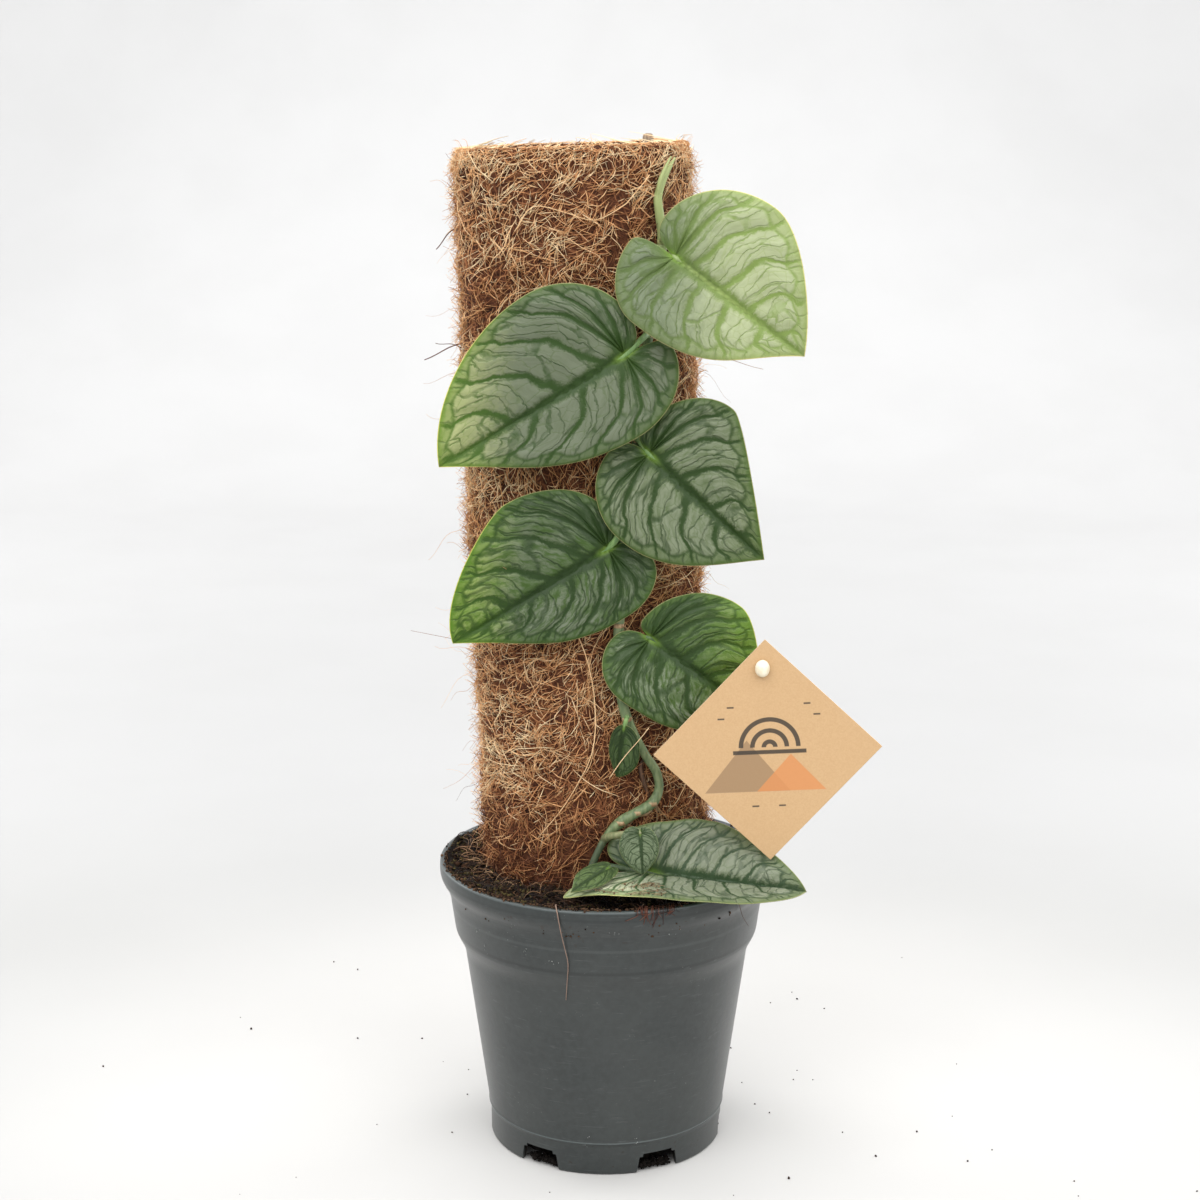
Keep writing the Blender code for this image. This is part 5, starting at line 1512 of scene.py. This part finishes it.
def plastic_shader():
    """Dark grey moulded plastic: fine satin grain, scuffs, pale dust, soil about its foot, painted
    highlight and shade lines along its edges and creases, and painted shade in the hollow under it.
    """
    g = Graph("pot_moulded")
    place = g.place()
    level = g.split(place, "Z")
    cloud = g.noise(place, 28.0, 3.0, 0.55)
    mottle = g.noise(place, 420.0, 3.0, 0.6)
    grain = g.noise(place, 2600.0)
    color = g.mix(g.step(cloud, 0.3, 0.7), (34, 39, 39), (45, 49, 48))
    color = g.mix(g.step(mottle, 0.3, 0.7, 0.0, 0.35), color, (56, 62, 61))
    # Painted highlights on the rim, across the band and on the low ridge, and painted shade at the lip's
    # lower edge and at the band's foot.
    for height, half, share, line in PAINTED_LIGHT_AND_SHADE_LINES:
        on_line = g.step(g.apart(level, height), 0.3 * half, half, share, 0.0)
        color = g.mix(on_line, color, line)
    dust = g.step(g.noise(place, 900.0, 2.0, 0.6), 0.69, 0.76)
    dusty = g.step(g.noise(place, 60.0), 0.5, 0.64)
    color = g.mix(g.mul(g.mul(dust, dusty), 0.4), color, (140, 142, 138))
    soil = g.step(g.noise(place, 430.0, 1.0), 0.7, 0.74)
    ends = g.larger(g.step(level, 0.08, 0.104), g.step(level, 0.004, 0.022, 0.8, 0.0))
    color = g.mix(g.mul(soil, ends), color, (34, 26, 20))
    scuff = g.noise(g.scaled(place, 1.0, 1.0, 6.0), 120.0, 4.0, 0.7)
    color = g.mix(g.mul(g.step(scuff, 0.6, 0.72), 0.1), color, (140, 144, 144))
    scratch = g.noise(g.scaled(place, 1.0, 1.0, 40.0), 60.0, 2.0, 0.6)
    color = g.mix(g.mul(g.step(scratch, 0.68, 0.72), 0.12), color, (128, 134, 134))
    # Painted shade: inside the foot ring, below the foot's top, the plastic is near black, as the shade in
    # the hollow under the pot.
    aside = g.length(g.scaled(place, 1.0, 1.0, 0.0))
    within = g.step(aside, FOOT_RADIUS - 0.0012, FOOT_RADIUS - 0.0004, 1.0, 0.0)
    under = g.mul(within, g.step(level, FOOT_HEIGHT - 0.0001, FOOT_HEIGHT + 0.0002, 1.0, 0.0))
    color = g.mix(under, color, g.mix(g.step(mottle, 0.4, 0.6), (10, 9, 8), (26, 22, 18)))
    g.bump(g.muladd(grain, 0.15, g.muladd(mottle, 0.25, cloud)), 0.0003, 0.35)
    return g.surface(color, g.muladd(cloud, 0.12, g.muladd(grain, 0.06, 0.24)), 0.6)


def notch_block(angle):
    """A block with rounded upper corners, wider at its bottom, that cuts one notch in the foot."""
    bm = bmesh.new()
    bmesh.ops.create_cube(bm, size=1.0)
    for vert in bm.verts:
        above = vert.co.z > 0
        vert.co.x *= NOTCH_DEPTH
        vert.co.y *= NOTCH_WIDTH * (1.0 if above else NOTCH_SPREAD)
        vert.co.z = FOOT_HEIGHT - 0.0003 if above else -0.002
    level = [e for e in bm.edges if abs(e.verts[0].co.z - e.verts[1].co.z) < 1e-6]
    top = [e for e in level if e.verts[0].co.z > 0]
    top = [e for e in top if abs(e.verts[0].co.y - e.verts[1].co.y) < 1e-6]
    bmesh.ops.bevel(bm, geom=top, offset=NOTCH_ROUND, segments=4, affect="EDGES")
    place = (FOOT_RADIUS * math.cos(angle), FOOT_RADIUS * math.sin(angle), 0.0)
    turned = Matrix.Translation(place) @ Matrix.Rotation(angle, 4, "Z")
    bmesh.ops.transform(bm, matrix=turned, verts=bm.verts)
    return bm


def round_block(radius, depth, segments, place):
    bm = bmesh.new()
    size = {"radius1": radius, "radius2": radius, "depth": depth}
    bmesh.ops.create_cone(bm, cap_ends=True, segments=segments, **size)
    bmesh.ops.transform(bm, matrix=place, verts=bm.verts)
    return bm


def drain_block(angle):
    centre = (DRAIN_CIRCLE * math.cos(angle), DRAIN_CIRCLE * math.sin(angle), FOOT_HEIGHT + 0.001)
    return round_block(DRAIN_RADIUS, 0.006, 32, Matrix.Translation(centre))


def cut_out(obj, blocks):
    """Takes the blocks out of the object in one Boolean."""
    bm = bmesh.new()
    for block in blocks:
        mesh = mesh_of(block, "block")
        bm.from_mesh(mesh)
        bpy.data.meshes.remove(mesh)
    cutter = added("blocks", mesh_of(bm, "blocks"))
    cutter.location = obj.location
    modifier = obj.modifiers.new("cut", "BOOLEAN")
    modifier.operation = "DIFFERENCE"
    modifier.solver = "EXACT"
    modifier.object = cutter
    bpy.context.view_layer.update()
    graph = bpy.context.evaluated_depsgraph_get()
    result = bpy.data.meshes.new_from_object(obj.evaluated_get(graph))
    obj.modifiers.clear()
    obj.data = result
    bpy.data.objects.remove(cutter)


def make_pot():
    floor = FOOT_HEIGHT + FLOOR_THICKNESS
    levels = [BODY_TOP_Z - 0.0012, BAND_FOOT_Z - 0.0016, BAND_FOOT_Z, BAND_TOP_Z]
    levels += [POT_HEIGHT - LIP_HEIGHT - 0.0022, POT_HEIGHT - LIP_HEIGHT]
    inside = [(0.0, floor), (pot_inner_radius(RIDGE_Z) - 0.0006, floor)]
    inside += [(pot_inner_radius(z), z) for z in levels]
    inside.append((RIM_RADIUS - POT_WALL - 0.001, POT_HEIGHT))
    foot_inner = FOOT_RADIUS - FOOT_WALL
    rib_inner = BASE_RIB_RADIUS - BASE_RIB_WALL
    under = [(foot_inner, 0.0), (foot_inner, FOOT_HEIGHT), (BASE_RIB_RADIUS, FOOT_HEIGHT)]
    under += [(BASE_RIB_RADIUS, BASE_RIB_CLEAR), (rib_inner, BASE_RIB_CLEAR)]
    under += [(rib_inner, FOOT_HEIGHT), (0.0, FOOT_HEIGHT)]
    shell = lathe("pot_shell", rounded(inside + pot_outer_profile() + under), POT_STEPS)
    pot = piece("pot_shell", shell, "pot_plastic", plastic_shader(), "pot")
    blocks = []
    for index in range(FOOT_COUNT):
        angle = FOOT_ANGLE + math.tau / FOOT_COUNT * (index + 0.5)
        blocks += [notch_block(angle), drain_block(angle)]
    cut_out(pot, blocks)
    pot.data.shade_smooth()
    pot.data.set_sharp_from_angle(angle=math.radians(38))


def soil_height(x, y):
    reach = RIM_RADIUS - 2 * POT_WALL
    bank = max(0.0, (y - 0.6 * x) / (1.4 * reach))
    hollow = max(0.0, (x - y) / (1.5 * reach) - 0.35)
    rough = noise.noise(Vector((x, y, 0.0)) * 90.0) + 0.6 * noise.noise(Vector((x, y, 1.0)) * 210.0)
    by_wall = min(1.0, max(0.0, (math.hypot(x, y) - 0.046) / 0.01))
    heaped = SOIL_HEAP * by_wall * min(1.0, max(0.0, (0.4 * y - x + 0.01) / 0.03))
    return SOIL_TOP + SOIL_MOUND * bank + heaped - SOIL_HOLLOW * hollow + SOIL_RELIEF * rough


def soil_shader():
    g = Graph("peat")
    place = g.place()
    lumps = g.noise(place, 260.0, 5.0, 0.65)
    color = g.ramp(lumps, (0.3, (10, 6, 4)), (0.54, (17, 11, 7)), (0.76, (40, 26, 16)))
    moss = g.step(g.noise(place, 75.0, 3.0), 0.53, 0.62)
    moss = g.mul(moss, g.step(g.noise(place, 1100.0), 0.42, 0.6))
    color = g.mix(g.mul(moss, 0.65), color, (112, 98, 58))
    g.bump(lumps, 0.0018)
    return g.surface(color, 0.95, 0.25)


def inside_pole(x, y, z, margin):
    """True where the pole stands, with this much round it."""
    local_x = x + z * math.tan(POLE_LEAN) - POLE_PLACE.x
    local_y = y - POLE_PLACE.y
    wide = np.abs(local_x / (POLE_HALF_WIDTH + margin)) ** POLE_SQUARENESS
    deep = np.abs(local_y / (POLE_HALF_DEPTH + margin)) ** POLE_SQUARENESS
    return wide + deep < 1.0


def make_soil():
    """The potting mix: a rough top, crumbs, coarse fibres and bits of moss."""
    draw = np.random.default_rng(SEED + 2)
    edge = RIM_RADIUS - POT_WALL - 2 * GAP
    rings = 56
    floor = FOOT_HEIGHT + FLOOR_THICKNESS + GAP
    profile = [(edge * i / rings, SOIL_TOP) for i in range(rings + 1)]
    for z in (BAND_TOP_Z, BAND_FOOT_Z, BODY_TOP_Z - 0.0012):
        profile.append((pot_inner_radius(z) - GAP, z))
    profile += [(pot_inner_radius(RIDGE_Z) - 0.0006 - 2 * GAP, floor), (0.0, floor)]
    mesh = lathe("soil_top", profile, 150)
    for vert in mesh.vertices:
        if vert.co.z > SOIL_TOP - 0.0001:
            x, y = vert.co.x, vert.co.y
            fine = 0.0011 * noise.noise(Vector((x, y, 3.0)) * 420.0)
            fine += 0.0006 * noise.noise(Vector((x, y, 5.0)) * 900.0)
            vert.co.z = soil_height(x, y) + fine
            reach = pot_inner_radius(vert.co.z) - GAP
            shrink = min(1.0, reach / max(math.hypot(x, y), 1e-6))
            vert.co.x, vert.co.y = x * shrink, y * shrink
    piece("soil_top", mesh, "potting_soil", soil_shader(), "soil")
    scatter_crumbs(draw)
    scatter_rim_dust(draw)
    scatter_notch_shade_crumbs(draw)
    scatter_soil_fibres(draw)


def soil_spots(draw, count, widest, lean_left=0.0):
    """Places on the soil, clear of the pole: x, y and the soil's height there."""
    found = []
    while len(found) < count:
        angle = draw.uniform(0, math.tau)
        radius = widest * math.sqrt(draw.uniform(0, 1))
        x, y = radius * math.cos(angle), radius * math.sin(angle)
        if inside_pole(x, y, SOIL_TOP, 0.0005):
            continue
        if draw.random() < lean_left * (x + widest) / (2 * widest):
            continue
        found.append((x, y, soil_height(x, y)))
    return np.array(found)


def crumb_shader(name, low, high):
    g = Graph(name)
    grain = g.noise(g.place(), 1500.0, 4.0, 0.7)
    tint = g.mix(g.value("tone"), low, high)
    color = g.mix(g.step(grain, 0.3, 0.7), g.mix(0.6, tint, (20, 12, 8)), tint)
    g.bump(grain, 0.0006)
    return g.surface(color, 0.95, 0.2)


def crumb_batch(draw, spots, sizes):
    """Rough lumps: spheres of 20 faces, each squashed and turned its own way."""
    bm = bmesh.new()
    bmesh.ops.create_icosphere(bm, subdivisions=1, radius=1.0)
    ball, faces = arrays_of(bm)
    count = len(spots)
    stretch = draw.uniform(0.55, 1.25, (count, 1, 3))
    rough = draw.uniform(0.72, 1.25, (count, len(ball), 1))
    turn = draw.uniform(0, math.tau, (count, 1))
    points = ball[None] * rough * stretch * sizes[:, None, None]
    x = points[..., 0] * np.cos(turn) - points[..., 1] * np.sin(turn)
    y = points[..., 0] * np.sin(turn) + points[..., 1] * np.cos(turn)
    points = np.stack([x, y, points[..., 2]], axis=-1) + spots[:, None]
    index = faces[None] + (np.arange(count) * len(ball))[:, None, None]
    tone = np.repeat(draw.uniform(0, 1, count), len(ball))
    return points.reshape(-1, 3), index.reshape(-1, 3), {"tone": tone}


def crumb_piece(name, draw, spots, sizes, *look):
    """A piece of crumbs. The look is the shader's name and its darkest and palest colour."""
    crumbs = crumb_batch(draw, spots, sizes)
    return piece(name, crumbs, "potting_soil", crumb_shader(*look))


def ring_spots(radius, angle, level):
    return np.stack([radius * np.cos(angle), radius * np.sin(angle), level], axis=-1)


def scatter_crumbs(draw):
    spots = soil_spots(draw, CRUMB_COUNT, 0.0565)
    sizes = draw.uniform(0.0003, 0.0013, len(spots)) * draw.uniform(0.6, 1.3, len(spots))
    spots[:, 2] += 0.3 * sizes
    crumb_piece("soil_crumbs", draw, spots, sizes, "peat_crumbs", (5, 3, 2), (66, 43, 27))
    spots = soil_spots(draw, MOSS_COUNT, 0.056, 0.75)
    sizes = draw.uniform(0.0002, 0.0007, len(spots))
    spots[:, 2] += 0.0009
    crumb_piece("soil_moss", draw, spots, sizes, "moss_bits", (46, 40, 21), (112, 98, 58))


def scatter_rim_dust(draw):
    """Soil on the lip, a few crumbs on the shoulder below it, and pale dust stuck to the band."""
    count = RIM_CRUMB_COUNT
    angle = draw.normal(-1.9, 0.85, count)
    on_lip = draw.random(count) < 0.94
    shoulder = POT_HEIGHT - LIP_HEIGHT - draw.uniform(0.001, 0.006, count)
    level = np.where(on_lip, POT_HEIGHT + 0.0001, shoulder)
    lip = RIM_RADIUS - 0.0004 - 0.0026 * draw.random(count) ** 0.6
    radius = np.where(on_lip, lip, [pot_inner_radius(z) + POT_WALL for z in level])
    spots = ring_spots(radius, angle, level)
    sizes = draw.uniform(0.00014, 0.0006, count)
    crumb_piece("rim_soil", draw, spots, sizes, "rim_soil_bits", (30, 20, 14), (112, 84, 62))
    spots = []
    for angle, level in DUST_SPOTS:
        for _ in range(5):
            z = level + draw.normal(0, 0.001)
            turn = angle + draw.normal(0, 0.022)
            spots.append(ring_spots(pot_inner_radius(z) + POT_WALL, turn, z))
    sizes = draw.uniform(0.0001, 0.0003, len(spots))
    look = ("dust_bits", (120, 124, 122), (190, 194, 190))
    crumb_piece("rim_dust", draw, np.array(spots), sizes, *look)


def scatter_notch_shade_crumbs(draw):
    """Peat crumbs on the floor between the pot's foot and its base rib, coloured near black as painted
    shade in the notches.
    """
    count = NOTCH_SHADE_CRUMB_COUNT
    notch = draw.integers(0, FOOT_COUNT, count) + 0.5
    angle = FOOT_ANGLE + math.tau / FOOT_COUNT * notch
    angle = angle + draw.uniform(-0.5, 0.5, count) * NOTCH_WIDTH / FOOT_RADIUS
    radius = draw.uniform(BASE_RIB_RADIUS + 0.0008, FOOT_RADIUS - 0.0012, count)
    sizes = draw.uniform(0.0004, 0.0009, count)
    spots = ring_spots(radius, angle, 1.5 * sizes + draw.uniform(0.0, 0.0012, count))
    crumb_piece("notch_shade_crumbs", draw, spots, sizes, "fallen_mix_bits", (6, 5, 4), (22, 16, 12))


def scatter_soil_fibres(draw):
    """Coarse fibres in the mix, the sleeve's fibres on it, and what hangs over the rim."""
    count, rings = SOIL_FIBRE_COUNT, 7
    column = (count, 1)
    spots = soil_spots(draw, count, 0.055, 0.5)
    share = np.linspace(-0.5, 0.5, rings)[None]
    heading = draw.uniform(0, math.tau, column) + draw.normal(0, 0.9, column) * share
    way = draw.uniform(0.003, 0.013, column) * share
    x, y = within_pot(*lying(spots[:, 0:1], spots[:, 1:2], heading, way))
    lift = draw.uniform(0.0002, 0.0026, column) * (1 - 3.4 * share**2) + 0.0003
    lines = np.stack([x, y, spots[:, 2:3] + lift], axis=-1)
    radii = taper(draw, rings, (0.00008, 0.00017), count)
    mixed = [(lines, radii, tones(draw, 0.15, 0.18, count)), spilt_fibres(draw)]
    rooted = {
        "rim_tuft": ([rim_tuft(draw)], "root_tips", TIP_COLORS),
        "hanging_roots": ([hanging_roots()], "root_skin", ROOT_COLORS),
        "soil_fibres": (mixed, "soil_strands", SOIL_STRAND_COLORS),
    }
    for name, (batches, skin, colors) in rooted.items():
        piece(name, strands(batches, 4), "potting_soil", fibre_shader(skin, *colors))


def within_pot(x, y):
    """The same places, drawn in towards the pot's axis where they would meet its wall."""
    shrink = np.minimum(1.0, 0.057 / np.hypot(x, y))
    return x * shrink, y * shrink


def spilt_fibres(draw):
    """Golden fibres from the sleeve that lie on the mix round its foot."""
    count, rings = SPILT_FIBRE_COUNT, 7
    column = (count, 1)
    angle = draw.uniform(0, math.tau, column)
    x, y = oval(angle, draw.uniform(-0.001, 0.009, column))
    x += POLE_PLACE.x - SOIL_TOP * math.tan(POLE_LEAN)
    y += POLE_PLACE.y
    share = np.linspace(-0.5, 0.5, rings)[None]
    heading = angle + draw.normal(0, 0.9, column) + draw.normal(0, 0.9, column) * share
    way = draw.uniform(0.005, 0.013, column) * share
    ground = np.array([[soil_height(a, b)] for a, b in zip(x[:, 0], y[:, 0])])
    z = ground + draw.uniform(0.0008, 0.003, column) * (1 - 3 * share**2)
    lines = np.stack([*within_pot(*lying(x, y, heading, way)), z], axis=-1)
    radii = taper(draw, rings, (0.00009, 0.00017), count)
    return lines, radii, tones(draw, 0.5, 0.2, count)


def hanging_roots():
    """Roots over the rim in front: a long one on the left of the middle, and a thin dark one."""
    lines = np.stack([over_rim(route) for route in HANGING_ROUTES])
    radii = np.array([0.00024, 0.00017])[:, None] * np.linspace(1.1, 0.6, lines.shape[1])
    return lines, radii, np.array([0.62, 0.2])


def over_rim(route):
    """A smooth line through rows of x, distance from the pot's axis and height, on the front."""
    fine = smooth_route(route, 3)
    depth = np.maximum(fine[:, 1], 0.0)
    y = -np.sqrt(np.maximum(depth**2 - fine[:, 0] ** 2, 0.0))
    return np.stack([fine[:, 0], y, fine[:, 2]], axis=-1)


def rim_tuft(draw):
    """A small red-brown tuft of root tips that hangs over the lip under the lowest leaf."""
    count = TIP_COUNT
    lines = []
    for _ in range(count):
        x = draw.uniform(0.01, 0.0235)
        drift = draw.normal(-0.0006, 0.0024)
        drop = 0.001 + 0.006 * draw.random() ** 2 * math.exp(-(((x - 0.0165) / 0.005) ** 2))
        share = np.linspace(0, 1, 4)[1:]
        route = [(x, 0.052, 0.103), (x, 0.0575, 0.1054), (x + 0.2 * drift, 0.0604, 0.105)]
        route += [(x + drift * t**1.5, 0.0608 - 0.2 * t * drop, 0.1044 - drop * t) for t in share]
        lines.append(over_rim(route))
    lines = np.stack(lines)
    radii = draw.uniform(0.00009, 0.00018, count)[:, None] * np.linspace(1.0, 0.6, lines.shape[1])
    return lines, radii, draw.uniform(0.0, 0.9, count)


def print_shapes(g, x, z):
    """How far two hills and the ink of arcs, a bar and strokes cover x and z, in the print's mm."""

    def below(value, limit):
        return g.step(value, limit - PRINT_SOFT, limit + PRINT_SOFT, 1.0, 0.0)

    def hill(middle, slope, top):
        side = g.add(z, g.mul(g.apart(x, middle), slope))
        return g.mul(g.mul(below(side, top), below(g.mul(z, -1.0), 11.0)), 0.85)

    def box(x_middle, z_middle, half_width, half_height):
        wide = below(g.apart(x, x_middle), half_width)
        return g.mul(below(g.apart(z, z_middle), half_height), wide)

    away = g.length(g.vector(g.sub(x, 0.5), g.sub(z, 1.0)))
    arcs = g.step(g.apart(g.math("FRACT", g.div(away, 3.0)), 0.5), 0.17, 0.23, 1.0, 0.0)
    arcs = g.mul(arcs, below(away, 9.0))
    arcs = g.mul(arcs, g.step(z, 1.0 - PRINT_SOFT, 1.0 + PRINT_SOFT))
    ink = g.larger(arcs, box(0.5, -0.3, 9.6, 0.55))
    for stroke in PRINT_STROKES:
        ink = g.larger(ink, box(*stroke, 0.9, 0.22))
    return hill(-5.5, 1.25, 3.0), hill(6.0, 1.1, -1.0), g.mul(ink, 0.93)


# Tag


def card_shader():
    """Smooth card with a printed pattern of two soft triangles, dark arcs and short strokes, and a painted
    highlight on its cut edges.
    """
    g = Graph("card_print")
    place = g.place()
    x, z = (g.mul(g.split(place, axis), 1000.0 / PRINT_SCALE) for axis in "XZ")
    left, right, ink = print_shapes(g, x, z)
    fleck = g.noise(place, 1800.0, 3.0, 0.6)
    color = g.mix(g.step(fleck, 0.3, 0.7), (194, 159, 117), (200, 166, 125))
    color = g.mix(left, color, (150, 122, 92))
    color = g.mix(right, color, (204, 136, 84))
    color = g.mix(ink, color, (58, 54, 49))
    fibre = g.noise(g.scaled(place, 1.0, 1.0, 2.5), 700.0, 4.0, 0.7)
    color = g.mix(g.step(fibre, 0.35, 0.75, 0.0, 0.06), color, (168, 128, 88))
    # Painted highlight: the cut edges, which face away from Y, are pale as if catching the light.
    face = g.math("ABSOLUTE", g.split(g.place("Normal"), "Y"))
    color = g.mix(g.step(face, 0.5, 0.9, 0.75, 0.0), color, (232, 214, 184))
    g.bump(fibre, 0.00006, 0.6)
    return g.surface(color, 0.62, 0.3)


def card_matrix():
    return Matrix.Translation(CARD_CENTRE) @ Matrix.Rotation(-CARD_TURN, 4, "Y")


def make_tag():
    """The card, with softened cut edges and a punched hole, and its stick with an oval knob."""
    knob_z = CARD_SIDE / math.sqrt(2) - CARD_HOLE_DROP
    bm = bmesh.new()
    bmesh.ops.create_cube(bm, size=1.0)
    for vert in bm.verts:
        x, z = vert.co.x * CARD_SIDE, vert.co.z * CARD_SIDE
        vert.co = ((x - z) / math.sqrt(2), vert.co.y * CARD_THICKNESS, (x + z) / math.sqrt(2))
    bmesh.ops.bevel(bm, geom=bm.edges[:], offset=0.00012, segments=2, affect="EDGES")
    card = added("tag_card_sheet", mesh_of(bm, "card"))
    turn = Matrix.Translation((CARD_HOLE_ASIDE, 0.0, knob_z)) @ Matrix.Rotation(math.pi / 2, 4, "X")
    cut_out(card, [round_block(TAG_STICK_RADIUS + GAP, 0.01, 40, turn)])
    card.matrix_world = Matrix.Translation(POT_AXIS) @ card_matrix()
    card.data.materials.clear()
    card.data.materials.append(card_shader())
    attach(card, "root")
    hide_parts("tag_card")
    make_stick(knob_z)


def make_stick(knob_z):
    g = Graph("stick_moulded")
    cloud = g.noise(g.place(), 500.0, 3.0)
    color = g.mix(g.step(cloud, 0.3, 0.7), (226, 214, 186), (246, 238, 218))
    g.bump(cloud, 0.0002, 0.4)
    to_pot = card_matrix()
    front = -CARD_THICKNESS / 2 - GAP - KNOB_FLAT * KNOB_RADII[1]
    centre = to_pot @ Vector((CARD_HOLE_ASIDE, front, knob_z))
    behind = to_pot @ Vector((CARD_HOLE_ASIDE, CARD_THICKNESS / 2 + NECK_BEHIND, knob_z))
    above = behind + Vector((0.0, 0.0, TAG_STICK_RADIUS - GAP))
    stick = (TAG_STICK_FOOT, TAG_STICK_FOOT.lerp(behind, 0.5), above)
    neck = (centre, centre.lerp(behind, 0.6), behind)
    parts = [rod(smooth_route([(*p, 1.0) for p in way], 6), TAG_STICK_RADIUS, 16) for way in (stick, neck)]
    bm = bmesh.new()
    bmesh.ops.create_uvsphere(bm, u_segments=32, v_segments=20, radius=1.0)
    bmesh.ops.triangulate(bm, faces=bm.faces)
    ball, faces = arrays_of(bm)
    ball[:, 1] = np.minimum(ball[:, 1], KNOB_FLAT)
    faces = faces[np.lexsort(faces.T)]  # triangulate gives them in another order each run
    parts.append((ball * np.array(KNOB_RADII) + np.array(centre), faces))
    piece("tag_stick_rod", joined(parts), "stick_plastic", g.surface(color, 0.32), "tag_stick")


def table_shader():
    """White, painted lighter round the pot to lift its shade, a little darker away from it, and painted
    lighter again up the wall, where less light falls.
    """
    g = Graph("table_top")
    place = g.place()
    depth = g.split(place, "Y")
    # Painted light: lighter round the pot, where its shade falls on the table, and up the wall, which the
    # lamps light less.
    color = g.mix(g.step(g.length(place), 0.08, 0.36), (197, 196, 194), (174, 174, 173))
    color = g.mix(g.step(depth, 0.15, 0.45), color, (178, 178, 178))
    color = g.mix(g.step(depth, *WALL_FOOT), color, (218, 218, 218))
    stain = g.step(g.noise(place, 9.0, 3.0), 0.35, 0.7, 0.0, 0.04)
    color = g.mix(stain, color, (140, 138, 134))
    return g.surface(color, 0.7, 0.2)


# Floor


def make_floor():
    """A white table that runs up behind the plant, with a few specks of soil on it."""
    turns = [math.pi / 2 * step / 24 for step in range(25)]
    rows = [(FLOOR_FRONT, 0.0)]
    for turn in turns:
        y = WALL_Y - WALL_BEND + WALL_BEND * math.sin(turn)
        rows.append((y, WALL_BEND * (1 - math.cos(turn))))
    rows.append((WALL_Y, WALL_TOP))
    bm = bmesh.new()
    lines = [[bm.verts.new((x, y, z)) for x in (-FLOOR_REACH, FLOOR_REACH)] for y, z in rows]
    for near, far in zip(lines, lines[1:]):
        bm.faces.new((near[0], near[1], far[1], far[0]))
    floor = added("floor", mesh_of(bm, "floor"))
    floor.data.materials.append(table_shader())
    floor.data.shade_smooth()
    draw = np.random.default_rng(SEED + 4)
    count = SPECK_COUNT
    angle = draw.uniform(0, math.tau, count)
    radius = 0.055 + 0.16 * draw.uniform(0, 1, count) ** 1.5
    sizes = draw.uniform(0.0002, 0.0006, count)
    crumbs = crumb_batch(draw, ring_spots(radius, angle, 0.5 * sizes), sizes)
    specks = added("floor_specks", array_mesh("floor_specks", *crumbs))
    specks.location = POT_AXIS
    specks.data.materials.append(bpy.data.materials["peat_crumbs"])


make_camera()
make_world()
for light in LIGHTS:
    add_light(*light)
bpy.context.scene.view_settings.view_transform = "Standard"
make_leaves()
make_coir()
make_stem()
make_pole_ends()
make_pot()
make_soil()
make_tag()
make_floor()
